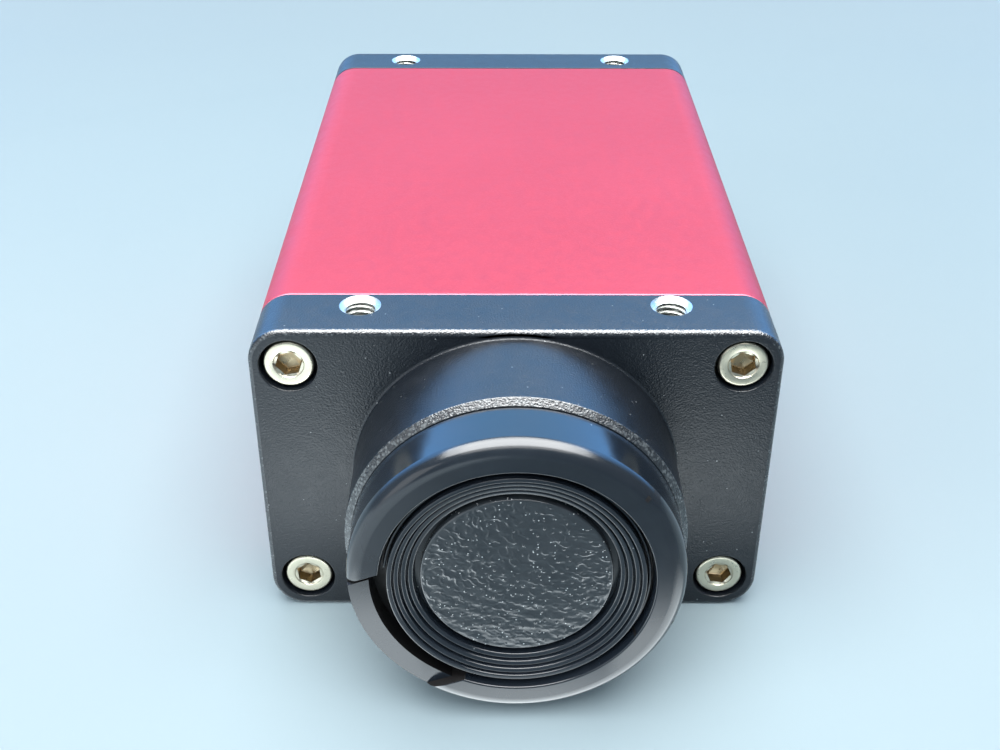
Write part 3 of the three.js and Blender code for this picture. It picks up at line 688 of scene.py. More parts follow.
def plate_sides(part, profile, hole_y, edge_inset=0.0):
    """The outer sides of an end plate for (inset, y) pairs; before its band, strips whose inset
    is under edge_inset get the edge coat, whose bright cells are partly wear and partly a painted
    sparkle highlight. Returns the front and rear loops."""
    loops = housing_loops(part, profile)
    strips = range(len(loops) - 1)
    band = max(strips, key=lambda i: profile[i + 1][1] - profile[i][1])
    for i in strips:
        if i == band:
            drilled_band(part, loops[i], loops[i + 1], hole_y)
        else:
            part.slot = IN_EDGE if i < band and profile[i][0] < edge_inset else IN_COAT
            part.strip(loops[i], loops[i + 1])
            part.slot = IN_COAT
    return loops[0], loops[-1]


def screw_holes(part, face, inward, inner_face):
    """Counterbored screw holes; returns their loops on the outer and the inner face."""
    floor_y = face + inward * 2.7
    profile = rounded([(2.56, face), (2.40, face, 0.12), (2.40, floor_y), (1.4, floor_y),
                       (1.4, inner_face)], guard=0.0)
    ends = [y_hole(part, x, z, profile) for x, z in SCREWS.values()]
    return [outer for outer, _ in ends], [inner for _, inner in ends]


def front_plate():
    """The front plate with the lens nose, threaded inside."""
    part = Build()
    sides = rounded([(0.62, 0.0), (0.0, 0.0, 0.45), (0.0, SLEEVE.front, 0.05),
                     (0.35, SLEEVE.front)], step=9, guard=0.0)
    front, rear = plate_sides(part, sides, MOUNT_FROM_FRONT, edge_inset=0.40)
    rims, backs = screw_holes(part, 0.0, 1.0, SLEEVE.front)
    nose = rounded(NOSE_PROFILE, step=15, guard=0.04)
    loops = [part.loop(circle(0, AXIS_Z, radius, y, NOSE_SEGMENTS)) for radius, y in nose]
    for k, (a, b) in enumerate(zip(loops, loops[1:])):
        chamfer = nose[k][1] < -8.60 and nose[k + 1][0] > 13.30
        part.slot = IN_CHAMFER if chamfer else IN_COAT
        part.strip(a, b)
    part.slot = IN_COAT
    part.fill([front, loops[0]] + rims)
    part.slot = IN_BLACK
    last = thread(part, lambda radii, y: ring(0, AXIS_Z, radii, y), loops[-1], -8.7, -2.75,
                  minor=12.3, major=12.72, pitch=0.794, per=6)
    bore = [last] + [part.loop(circle(0, AXIS_Z, radius, y, NOSE_SEGMENTS))
                     for radius, y in rounded(BORE_PROFILE, guard=0.0)]
    part.skin(bore)
    part.slot = IN_COAT
    part.fill([rear, bore[-1]] + backs)
    part.finish("front_plate_machined", PLATE_MATERIALS, "front_plate")


def sleeve():
    """The closed red tube between the plates, with a painted highlight of lighter red on its end
    bevels.
    """
    part = Build()
    front, rear = SLEEVE.front, SLEEVE.rear
    profile = rounded([(1.5, front), (0.0, front, 0.30), (0.0, rear, 0.30), (1.5, rear)],
                      step=22, guard=0.1)
    loops = housing_loops(part, profile)
    for i in range(len(loops) - 1):
        (inset, y), (next_inset, next_y) = profile[i], profile[i + 1]
        at_end = next_y < front + 0.24 or y > rear - 0.24
        # the end bevels take the lighter red: a painted highlight
        part.slot = 1 if max(inset, next_inset) < 0.31 and at_end else 0
        part.strip(loops[i], loops[i + 1])
    part.slot = 0
    part.strip(loops[-1], loops[0])
    part.finish("sleeve_anodised", [RED, RED_EDGE_HIGHLIGHT], "housing_sleeve", sharp=50)


def jack_screw_hole(part, z):
    """A small threaded hole above or below the jack; returns its rim."""
    def at_depth(radii, depth):
        return ring(JACK.x, z, radii, REAR_FACE - depth)

    n = 40
    rim = part.loop(at_depth([1.12] * n, 0.0))
    part.slot = IN_BARE
    sink = part.loop(at_depth([0.86] * n, 0.26))
    part.strip(rim, sink)
    last = thread(part, at_depth, sink, 0.3, 2.5, minor=0.80, major=0.98, pitch=0.4)
    part.fan(last, (JACK.x, REAR_FACE - 2.7, z))
    part.slot = IN_COAT
    return rim


def rear_plate():
    """The rear plate with openings for screws, lights, power socket and network jack."""
    part = Build()
    inner = SLEEVE.rear
    sides = rounded([(0.35, inner), (0.0, inner, 0.05), (0.0, REAR_FACE, 0.45),
                     (0.62, REAR_FACE)], step=9, guard=0.0)
    front, rear = plate_sides(part, sides, inner + MOUNT_FROM_SLEEVE)
    backs, fronts = screw_holes(part, REAR_FACE, -1.0, inner)
    light = [(1.35, REAR_FACE), (1.1, REAR_FACE - 0.25), (1.1, inner)]
    bore_r = SHELL_R + 0.15
    power = rounded([(bore_r + 0.2, REAR_FACE), (bore_r, REAR_FACE, 0.15), (bore_r, inner)],
                    guard=0.0)
    holes = [(pipe.x, pipe.z, light, 40) for pipe in LIGHTS] + [(SHELL.x, SHELL.z, power, 72)]
    for x, z, profile, n in holes:
        back, far_end = y_hole(part, x, z, profile, n)
        backs.append(back)
        fronts.append(far_end)
    for z in (JACK.z - JACK_SCREW_Z, JACK.z + JACK_SCREW_Z):
        backs.append(jack_screw_hole(part, z))
    opening = jack_loops(part, 0.5, 0.4, rounded(
        [(-0.2, REAR_FACE), (0.0, REAR_FACE, 0.15), (0.0, inner)], guard=0.0))
    part.skin(opening)
    part.fill([rear] + backs + [opening[0]])
    part.fill([front] + fronts + [opening[-1]])
    part.finish("rear_plate_machined", PLATE_MATERIALS, "rear_plate")


# ------------------------------------------------------------------ socket head screws
HEX_FLATS = 2.0                            # hexagon socket, across flats
HEAD_DEPTH = 2.38
SCREW_PITCH = 0.45
# (radius, depth, fillet) of the head, from the face inwards
HEAD_PROFILE = [(1.36, 0.0), (2.125, 0.0, 0.26), (2.125, HEAD_DEPTH, 0.05), (1.2, HEAD_DEPTH)]
# how far each screw is turned, in radians, in the order of SCREWS
FRONT_TURNS = (0.20, -0.34, 0.62, -0.12)
REAR_TURNS = (0.4, 0.05, -0.25, 0.7)


def hex_radius(angle):
    return HEX_FLATS / 2 / math.cos((angle % (math.pi / 3)) - math.pi / 6)


def screw(end, corner, face, inward, turn):
    part = Build()
    n = 72
    x, z = SCREWS[corner]

    def at(radii, depth):
        return part.loop(ring(x, z, radii, face + inward * depth, turn))

    head = [at([radius] * n, depth)
            for radius, depth in rounded(HEAD_PROFILE, step=10, guard=0.04)]
    part.skin(head)
    hexagon = [hex_radius(2 * math.pi * i / n) for i in range(n)]
    mouth = [head[0], at([1.30] * n, 0.02), at([1.24] * n, 0.09),
             at([min(1.18, radius) for radius in hexagon], 0.17)]
    walls = [mouth[-1], at(hexagon, 0.24), at(hexagon, 1.22),
             at([radius * 0.93 for radius in hexagon], 1.3)]
    part.skin(mouth)
    # the socket's walls and floor take the darker steel: painted shade
    part.slot = 1
    part.skin(walls)
    part.fan(walls[-1], (x, face + inward * 1.62, z))
    part.slot = 0
    # threaded shank
    shank = [head[-1]]
    start, depth, tip = 2.45, 2.45, 15.2
    while depth < tip:
        cut_depth = ease((depth - start) / 0.6) * ease((tip - depth) / 0.5)
        shank.append(at([1.2 - 0.2 * cut_depth * wave(depth / SCREW_PITCH + i / n)
                         for i in range(n)], depth))
        depth += SCREW_PITCH / 5
    part.skin(shank)
    part.fan(shank[-1], (x, face + inward * 15.4, z))
    part.finish("%s_cap_screw_%s" % (end, corner), [STEEL, SOCKET_STEEL_SHADED],
                "%s_screw_%s" % (end, corner), sharp=24)


# ------------------------------------------------------------------ dust cap
SLOT_ANGLE = math.radians(199.5)           # from +X towards +Z: to the left, slightly down
SLOT_SPAN = (-4.62, 7.97)                  # the slot's parallel sides, across that direction
SLOT_R = 10.12                             # the slot's inner radius
GROOVE_SPAN = (SLOT_SPAN[0] + 0.002, SLOT_SPAN[0] + 0.80)
# (inner radius, outer radius or None for past the rim, y from, y to, growth at each end, sides)
SLOT_CUTS = [
    (SLOT_R, None, -15.0, -13.40, (0.0, 0.0), SLOT_SPAN),
    (SLOT_R, 11.55, -13.6, -11.3, (0.0, 0.0), SLOT_SPAN),
    (11.3, None, -13.6, -12.95, (0.0, 0.0), GROOVE_SPAN),
    (10.125, None, -14.40, -14.14, (0.20, -0.06), SLOT_SPAN),
]
# (radius, y, fillet): from the back of the plug, over the skirt and rim to the centre recess
CAP_PROFILE = [
    (0.0, -10.2), (11.0, -10.2, 0.3), (11.0, -4.65, 0.12), (11.75, -4.65, 0.2),
    (12.15, -5.05, 0.1), (12.15, -9.165, 0.08), (13.29, -9.165, 0.14), (13.29, -14.25, 1.55),
    (10.80, -14.25, 0.14), (10.62, -13.05, 0.03), (10.48, -13.05, 0.03), (10.45, -13.46, 0.05),
    (10.27, -13.46, 0.05), (10.25, -13.05, 0.03), (10.16, -13.05, 0.03),
    # three ridges stepping down to the centre
    (10.13, -13.99, 0.09), (9.74, -13.95, 0.13), (9.69, -13.55, 0.02), (9.64, -13.55, 0.02),
    (9.59, -13.80, 0.11), (9.22, -13.70, 0.13), (9.16, -13.27, 0.02), (9.10, -13.27, 0.02),
    (9.05, -13.54, 0.11), (8.66, -13.43, 0.13), (8.60, -13.00, 0.02), (8.54, -13.00, 0.02),
    (8.49, -13.28, 0.11), (8.10, -13.16, 0.14), (8.02, -12.25, 0.03), (7.0, -12.25),
    (0.0, -12.25),
]
GRAIN_R = 7.56
GRAIN_TOP, GRAIN_BASE = -13.12, -12.1      # y of the grained disc's face and back
GRAIN_EDGE = 0.14                          # rounding of its rim
GRAIN_CELL = 0.04                          # grid spacing of the height field


def slot_cutter(inner, outer, y0, y1, growth, span):
    """A prism between two radii and the slot's parallel sides."""
    part = Build()
    arc_steps = 48
    cos, sin = math.cos(SLOT_ANGLE), math.sin(SLOT_ANGLE)

    def at(along, across, y):
        return (cos * along - sin * across, y, AXIS_Z + sin * along + cos * across)

    def arc(radius, start, end, y):
        a0, a1 = math.asin(start / radius), math.asin(end / radius)
        angles = [a0 + (a1 - a0) * k / arc_steps for k in range(arc_steps + 1)]
        return [at(radius * math.cos(a), radius * math.sin(a), y) for a in angles]

    def outline(y, more):
        low, high = span[0] - more, span[1] + more
        if outer is None:
            far_side = [at(16, high, y), at(16, low, y)]
        else:
            far_side = arc(outer, high, low, y)
        return part.loop(arc(inner, low, high, y) + far_side)

    front, back = outline(y0, growth[0]), outline(y1, growth[1])
    part.strip(front, back, smooth=False)
    part.fill([front])
    part.fill([back])
    return part.obj("slot_cutter", [])


def cut(obj, cutter):
    modifier = obj.modifiers.new("cut", "BOOLEAN")
    modifier.operation = "DIFFERENCE"
    modifier.solver = "EXACT"
    modifier.object = cutter
    bpy.context.view_layer.update()
    depsgraph = bpy.context.evaluated_depsgraph_get()
    mesh = bpy.data.meshes.new_from_object(obj.evaluated_get(depsgraph))
    obj.modifiers.clear()
    obj.data = mesh
    bpy.data.objects.remove(cutter)


def grain_field():
    """Leather grain as a height grid in mm: short wavy raised creases from upper left to lower
    right and small round bumps between them. Also gives the index of the grid's centre."""
    half = int(GRAIN_R / GRAIN_CELL) + 8
    size = 2 * half + 1
    field = np.zeros((size, size))
    rng = np.random.RandomState(41)

    def stamp(x, z, radius, height):
        """Raises the field to a round bump."""
        cx, cz = x / GRAIN_CELL + half, z / GRAIN_CELL + half
        reach = int(radius / GRAIN_CELL) + 2
        i0, i1 = max(0, int(cx) - reach), min(size, int(cx) + reach + 1)
        j0, j1 = max(0, int(cz) - reach), min(size, int(cz) + reach + 1)
        if i0 >= i1 or j0 >= j1:
            return
        dx = np.arange(i0, i1)[:, None] - cx
        dz = np.arange(j0, j1)[None, :] - cz
        distance = np.sqrt(dx * dx + dz * dz) * GRAIN_CELL / radius
        bump = height * np.clip(1.0 - distance * distance, 0.0, 1.0) ** 1.5
        field[i0:i1, j0:j1] = np.maximum(field[i0:i1, j0:j1], bump)

    # scattered places, kept apart and closer together up and down
    seeds = []
    for _ in range(6000):
        x, z = rng.uniform(-GRAIN_R, GRAIN_R, 2)
        if x * x + z * z > (GRAIN_R + 0.2) ** 2:
            continue
        if all((x - a) ** 2 + (1.5 * (z - c)) ** 2 > 0.68 ** 2 for a, c in seeds):
            seeds.append((x, z))
    for x, z in seeds:
        if rng.uniform() < 0.40:
            stamp(x, z, radius=rng.uniform(0.09, 0.13), height=rng.uniform(0.05, 0.085))
            continue
        heading = math.radians(-36) + rng.normal(0, 0.50)
        length = rng.uniform(0.5, 1.5)
        sway, phase, rate = rng.uniform(0.3, 0.9), rng.uniform(0, 6.28), rng.uniform(4.0, 7.5)
        height, radius = rng.uniform(0.024, 0.050), rng.uniform(0.10, 0.135)
        px, pz = x - length / 2 * math.cos(heading), z - length / 2 * math.sin(heading)
        n = int(length / GRAIN_CELL)
        for k in range(n):
            t = k / n
            angle = heading + sway * math.sin(phase + rate * t * length)
            px += GRAIN_CELL * math.cos(angle)
            pz += GRAIN_CELL * math.sin(angle)
            taper = min(1.0, 5 * t, 5 * (1 - t))
            # creases are lower towards the bottom of the disc
            fade = 0.5 + 0.5 * min(1.0, max(0.0, (pz + 4.5) / 5.0))
            stamp(px, pz, radius * (0.6 + 0.4 * taper), height * fade * (0.35 + 0.65 * taper))
    return field, half


def grain_height(field, half, x, z):
    """The field between its grid points, with a soft undulation added."""
    u, v = x / GRAIN_CELL + half, z / GRAIN_CELL + half
    iu, iv = int(u), int(v)
    fu, fv = u - iu, v - iv
    height = ((field[iu, iv] * (1 - fu) + field[iu + 1, iv] * fu) * (1 - fv)
              + (field[iu, iv + 1] * (1 - fu) + field[iu + 1, iv + 1] * fu) * fv)
    height += (0.050 * noise.noise(Vector((x * 0.9 + z * 0.5, z * 1.3, 60.0)))
               + 0.022 * noise.noise(Vector((x * 2.3, z * 3.4, 9.0))))
    return height


def grain_disc(part):
    """The grained centre disc as a closed puck with a rounded rim, on an even grid."""
    field, half = grain_field()
    n = 224
    rim = GRAIN_R - GRAIN_EDGE
    rows = []
    for i in range(n + 1):
        row = []
        for j in range(n + 1):
            # a square grid bent into a disc
            a, c = 2 * i / n - 1, 2 * j / n - 1
            if a == 0 and c == 0:
                r, t = 0.0, 0.0
            elif abs(a) > abs(c):
                r, t = a, math.pi / 4 * c / a
            else:
                r, t = c, math.pi / 2 - math.pi / 4 * a / c
            x, z = rim * r * math.cos(t), rim * r * math.sin(t)
            fade = ease((rim - abs(rim * r)) / 0.22)
            row.append((x, GRAIN_TOP - fade * grain_height(field, half, x, z), AXIS_Z + z))
        rows.append(part.loop(row))
    for i in range(n):
        for j in range(n):
            part.face((rows[i][j], rows[i + 1][j], rows[i + 1][j + 1], rows[i][j + 1]))
    edge = ([rows[i][0] for i in range(n)] + [rows[n][j] for j in range(n)]
            + [rows[i][n] for i in range(n, 0, -1)] + [rows[0][j] for j in range(n, 0, -1)])
    loops = [edge]
    side = rounded([(rim, GRAIN_TOP), (GRAIN_R, GRAIN_TOP, GRAIN_EDGE), (GRAIN_R, GRAIN_BASE)],
                   step=22, guard=0.0)
    for radius, y in side[1:]:
        points = []
        for k in edge:
            x, _, z = part.points[k]
            scale = radius / math.hypot(x, z - AXIS_Z)
            points.append((x * scale, y, AXIS_Z + (z - AXIS_Z) * scale))
        loops.append(part.loop(points))
    part.skin(loops)
    part.fan(loops[-1], (0, GRAIN_BASE, AXIS_Z), smooth=False)


def paint_recess_shade(mesh):
    """Gives the slot's pocket, side walls and groove the darker recess material: painted shade."""
    for face in mesh.polygons:
        x, z = face.center.x / MM, face.center.z / MM - AXIS_Z
        y = (face.center.y - FRONT) / MM
        radius = math.hypot(x, z)
        across = z * math.cos(SLOT_ANGLE) - x * math.sin(SLOT_ANGLE)
        off_side = min(abs(across - SLOT_SPAN[0]), abs(across - SLOT_SPAN[1]))
        pocket = 10.12 < radius < 11.57 and -13.38 < y < -11.2
        wall = off_side < 0.03 and radius > 10.2 and -14.14 < y < -13.38
        groove = (SLOT_SPAN[0] - 0.01 < across < SLOT_SPAN[0] + 0.81 and radius > 10.2
                  and -13.38 < y < -12.9)
        if pocket or wall or groove:
            face.material_index = 2


def dust_cap():
    moulding = Build()
    moulding.turned(rounded(CAP_PROFILE, step=20, guard=0.035), 0, AXIS_Z, 208)
    cap = moulding.obj("cap_moulding", [CAP, GRAIN, CAP_RECESS_SHADE])
    for values in SLOT_CUTS:
        cut(cap, slot_cutter(*values))
    paint_recess_shade(cap.data)
    disc = Build()
    disc.slot = 1
    grain_disc(disc)
    disc_mesh = disc.mesh("grain", sharp=60)
    bm = bmesh.new()
    bm.from_mesh(cap.data)
    bmesh.ops.remove_doubles(bm, verts=bm.verts, dist=1e-7)
    bm.from_mesh(disc_mesh)
    bm.to_mesh(cap.data)
    bm.free()
    cap.data.set_sharp_from_angle(angle=math.radians(38))
    bpy.data.meshes.remove(disc_mesh)
    register(cap, "cap", "dust_cap")


# ------------------------------------------------------------------ network jack
CONTACT_PITCH = 1.02
CONTACT_RX, CONTACT_RZ = 0.16, 0.13        # half width and half thickness of a contact wire
# (x, z) from the jack's centre: the stepped plug opening
PLUG_OUTLINE = [(-5.95, -4.4), (5.95, -4.4), (5.95, 2.4), (3.1, 2.4), (3.1, 3.8), (1.7, 3.8),
                (1.7, 5.2), (-1.7, 5.2), (-1.7, 3.8), (-3.1, 3.8), (-3.1, 2.4), (-5.95, 2.4)]
# (depth from the jack's rear face, z below its centre) along a contact wire
CONTACT_PATH = [(2.6, 4.15), (3.4, 4.05), (5.2, 3.3), (7.0, 2.5), (8.6, 1.75), (9.2, 1.62),
                (9.8, 1.75), (10.8, 2.6)]


def jack_shield():
    """Folded tin shield, closed at its front end and open at the rear."""
    part = Build()
    front, rear = JACK.front, JACK.rear
    outer = jack_loops(part, 0.0, 0.45, rounded(
        [(0.45, front), (0.0, front, 0.15), (0.0, rear, 0.12), (0.17, rear)]))
    inner = jack_loops(part, 0.0, 0.45, rounded(
        [(0.17, rear), (0.34, rear, 0.1), (0.34, front + 0.4)]))
    part.skin(outer)
    part.skin(inner)
    part.strip(outer[-1], inner[0])
    part.fill([outer[0]])
    part.fill([inner[-1]])
    part.finish("jack_shield_folded", [NICKEL], "network_jack_shield")


def jack_insert():
    """Moulded insert with the plug opening and ribs standing on its floor."""
    part = Build()
    x, z, rear = JACK.x, JACK.z, JACK.rear
    face = rear - 0.15
    opening = inset_loops(part, [(x + dx, z + dz) for dx, dz in PLUG_OUTLINE],
                          [(-0.22, face), (0.0, face - 0.22), (0.0, rear - 11.3)])
    outer = jack_loops(part, -0.9, 0.3,
                       [(0.12, face), (0.0, face - 0.12), (0.0, JACK.front + 0.6)], steps=5)
    part.skin(opening, smooth=False)
    part.skin(outer)
    part.fill([outer[0], opening[0]])
    part.fill([opening[-1]])
    part.fill([outer[-1]])
    for i in range(9):
        cx = x + (i - 4) * CONTACT_PITCH
        bar(part, cx - 0.16, cx + 0.16, rear - 11.2, rear - 2.2, z - 4.42, z - 3.95)
    part.finish("jack_insert_moulded", [SOCKET], "network_jack_insert")


def jack_contacts():
    """Eight sprung wires."""
    part = Build()
    path = [Vector((JACK.rear - depth, JACK.z - below)) for depth, below in CONTACT_PATH]
    exact = [(JACK.rear - depth, JACK.z - below) for depth, below in CONTACT_PATH]
    for i in range(8):
        cx = JACK.x + (i - 3.5) * CONTACT_PITCH
        loops = []
        for k, (y, z) in enumerate(exact):
            along = (path[min(len(path) - 1, k + 1)] - path[max(0, k - 1)]).normalized()
            points = []
            for j in range(10):
                a = 2 * math.pi * j / 10
                points.append((cx + CONTACT_RX * math.cos(a),
                               y - CONTACT_RZ * math.sin(a) * along.y,
                               z + CONTACT_RZ * math.sin(a) * along.x))
            loops.append(part.loop(points))
        part.skin(loops)
        part.fill([loops[0]])
        part.fill([loops[-1]])
    part.finish("jack_contact_wires", [GOLD], "network_jack_contacts", sharp=60)


# ------------------------------------------------------------------ round power socket
SHELL_PITCH = 0.75
KNURL_STEPS, KNURL_DEPTH = 6, 0.11         # points to a knurl tooth, and its depth


def power_shell():
    """A tube with an outer thread on its rear end."""
    part = Build()
    n = 96
    front, rear = SHELL.front, SHELL.rear

    def at(radii, y):
        return part.loop(ring(SHELL.x, SHELL.z, radii, y))

    bore = rounded([(4.05, front), (4.05, rear, 0.12), (4.46, rear, 0.12),
                    (SHELL_R - 0.06, rear - 0.34, 0.05)], guard=0.04)
    loops = [at([radius] * n, y) for radius, y in bore]
    y, end = rear - 0.34, REAR_FACE + 1.3
    while y > end:
        depth = ease((rear - 0.3 - y) / 0.5) * ease((y - end) / 0.5)
        loops.append(at([SHELL_R - 0.02 - 0.30 * depth * wave(y / SHELL_PITCH + i / n)
                         for i in range(n)], y))
        y -= SHELL_PITCH / 7
    loops += [at([SHELL_R] * n, REAR_FACE + 1.2), at([SHELL_R] * n, front)]
    part.skin(loops + loops[:1])
    part.finish("power_shell_threaded", [NICKEL], "power_socket_shell", sharp=40)


def power_nut():
    """Knurled ring nut."""
    part = Build()
    n = 216
    nut = Piece("power_socket_nut")
    radius, front, rear = nut.width / 2, nut.front, nut.rear
    # (radius, y, 1 where knurled)
    section = [(SHELL_R + 0.08, front, 0), (radius - 0.25, front, 0), (radius, front + 0.28, 1),
               (radius, rear - 0.3, 1), (radius - 0.3, rear, 0), (SHELL_R + 0.3, rear, 0),
               (SHELL_R + 0.08, rear - 0.2, 0)]
    teeth = [0.5 - 0.5 * math.cos(2 * math.pi * i / KNURL_STEPS) for i in range(n)]
    loops = [part.loop(ring(SHELL.x, SHELL.z, [r - knurled * KNURL_DEPTH * t for t in teeth], y))
             for r, y, knurled in section]
    part.skin(loops + loops[:1])
    part.finish("power_ring_nut", [NICKEL], "power_socket_nut", sharp=28)


def power_insert(pins):
    """Insert with six pin wells and a key rib."""
    part = Build()
    insert = Piece("power_socket_insert")
    front, rear = insert.front, insert.rear
    outer = y_hole(part, SHELL.x, SHELL.z,
                   rounded([(3.7, rear), (3.95, rear, 0.15), (3.95, front)], guard=0.0), 72)
    wells = [y_hole(part, pin.x, pin.z, [(0.68, rear), (0.52, rear - 0.18), (0.52, front)], 28)
             for pin in pins]
    part.fill([outer[0]] + [well[0] for well in wells])
    part.fill([outer[1]] + [well[1] for well in wells])
    bar(part, SHELL.x - 0.5, SHELL.x + 0.5, rear - 0.3, SHELL.rear - 1.0,
        SHELL.z + 3.3, SHELL.z + 3.96, chamfer=0.12)
    part.finish("power_insert_moulded", [SOCKET], "power_socket_insert")


def power_pins(pins):
    for k, pin in enumerate(pins, 1):
        part = Build()
        part.turned(rounded([(0.0, pin.front), (0.4, pin.front, 0.08),
                             (0.4, pin.rear - 0.3, 0.25), (0.0, pin.rear)], step=15, guard=0.0),
                    pin.x, pin.z, 32)
        part.finish("power_contact_%d" % k, [GOLD], "power_pin_%d" % k, sharp=60)


def light_pipes():
    """Two rods with domed rear ends."""
    dome_height, dome_steps = 0.42, 9
    for k, (pipe, colour) in enumerate(zip(LIGHTS, PIPE_COLOURS), 1):
        part = Build()
        angles = [i * math.pi / 2 / dome_steps for i in range(dome_steps)]
        dome = [(math.cos(t), pipe.rear - dome_height + dome_height * math.sin(t))
                for t in angles]
        part.turned([(0.0, pipe.front), (0.9, pipe.front), (1.0, pipe.front + 0.1)] + dome
                    + [(0.0, pipe.rear)], pipe.x, pipe.z, 40)
        part.finish("light_pipe_dome_%d" % k, [colour], "status_light_pipe_%d" % k,
                    sharp=50)


front_plate()
sleeve()
rear_plate()
dust_cap()
for corner, front_turn, rear_turn in zip(SCREWS, FRONT_TURNS, REAR_TURNS):
    screw("front", corner, Piece("front_screw_" + corner).front, 1.0, front_turn)
    screw("rear", corner, Piece("rear_screw_" + corner).rear, -1.0, rear_turn)
jack_shield()
jack_insert()
jack_contacts()
power_shell()
power_nut()
socket_pins = [Piece("power_pin_%d" % k) for k in range(1, 7)]
power_insert(socket_pins)
power_pins(socket_pins)
light_pipes()

# ------------------------------------------------------------------ pieces that keep their CAD shape
KEPT = {
    "window_seal": RUBBER, "front_gasket": RUBBER, "rear_gasket": RUBBER,
    "protective_window": GLASS, "sensor_cover_glass": GLASS,
    "window_retaining_ring": BLACK_METAL, "sensor_package": CERAMIC, "sensor_chip": SILICON,
    "thermoelectric_module": CERAMIC, "cold_finger": COPPER, "heat_bridge": ALU,
    "thermal_pad_top": PAD, "thermal_pad_bottom": PAD,
    "sensor_board": BOARD, "image_processing_board": BOARD,
    "interface_board": BOARD, "connector_board": BOARD,
    "image_processor": CHIP, "network_transformer": CHIP,
    "board_connector_front": SOCKET, "board_connector_rear": SOCKET, "sensor_flex_cable": FLEX,
    "board_post_1": NICKEL, "board_post_2": NICKEL,
    "board_post_3": NICKEL, "board_post_4": NICKEL,
}
for name, material in KEPT.items():
    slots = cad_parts[name].data.materials
    slots.clear()
    slots.append(material)

# ------------------------------------------------------------------ floor, world, lights, camera
BACKDROP = (0.70, 0.86, 0.95)


def floor_material():
    """Pale floor with a painted glow and painted shade by place, seen in reflections only. Spans are
    metres.
    """
    mat = Mat("pale_floor")
    cloud = mat.noise(scale=9)
    path = mat.node("ShaderNodeLightPath").outputs
    position = mat.node("ShaderNodeNewGeometry").outputs["Position"]
    axes = mat.node("ShaderNodeSeparateXYZ", {0: position}).outputs
    front = cad_box[0][1]
    wide = mat.math("ABSOLUTE", axes["X"])
    glossy = path["Is Glossy Ray"]
    # left of and ahead of the frame's origin: a painted glow in reflections
    left = mat.math("MULTIPLY", mat.ramp(axes["X"], span=(-0.003, -0.024)),
                    mat.ramp(axes["Y"], span=(0.0, -0.01)))
    # a strip close to the front end, reaching further forward at its sides: a painted glow in
    # reflections
    reach = mat.math("ADD", axes["Y"], mat.math(
        "MULTIPLY", mat.ramp(wide, span=(0.0078, 0.0105)), 0.008))
    near = mat.math("MULTIPLY",
                    mat.math("MULTIPLY", mat.ramp(reach, span=(front - 0.009, front - 0.003)),
                             mat.ramp(axes["Y"], span=(front + 0.002, front))),
                    mat.ramp(wide, span=(0.036, 0.022)))
    # further ahead, reflections darken: painted shade
    away = mat.math("MULTIPLY", mat.ramp(axes["Y"], span=(front - 0.006, front - 0.020)),
                    mat.math("SUBTRACT", 1.0, left))
    dim = mat.math("MULTIPLY", mat.math("MULTIPLY", glossy, away), 0.6)
    tone = mat.mix(mat.ramp(cloud), (0.355, 0.455, 0.505), (0.372, 0.475, 0.525))
    glow = mat.math("ADD", mat.math("MULTIPLY", near, 4.6), mat.math("MULTIPLY", left, 1.1))
    mat.set(Base_Color=mat.mix(dim, tone, (0.04, 0.05, 0.06)),
            Roughness=mat.ramp(cloud, to=(0.50, 0.60)), Specular_IOR_Level=0.06,
            Emission_Color=(0.90, 0.97, 1.0, 1.0),
            Emission_Strength=mat.math("MULTIPLY", glossy, glow))
    # far from the object the floor turns into the backdrop, so no horizon shows
    far = mat.node("ShaderNodeVectorMath", {0: position}, operation="LENGTH").outputs["Value"]
    veil = mat.node("ShaderNodeEmission", {"Color": (*BACKDROP, 1.0), "Strength": 1.0})
    amount = mat.math("MULTIPLY", mat.ramp(far, span=(0.14, 0.46)), path["Is Camera Ray"])
    blend = mat.node("ShaderNodeMixShader", {
        0: amount, 1: mat.shader.outputs[0], 2: veil.outputs[0]})
    mat.put(mat.output.inputs[0], blend.outputs[0])
    return mat.material


def make_floor():
    half, z = 3, cad_box[0][2] - 0.00002
    material = floor_material()
    mesh = bpy.data.meshes.new("floor")
    mesh.from_pydata([(-half, -half, z), (half, -half, z), (half, half, z), (-half, half, z)],
                     [], [(0, 1, 2, 3)])
    floor = bpy.data.objects.new("floor", mesh)
    mesh.materials.append(material)
    bpy.context.scene.collection.objects.link(floor)


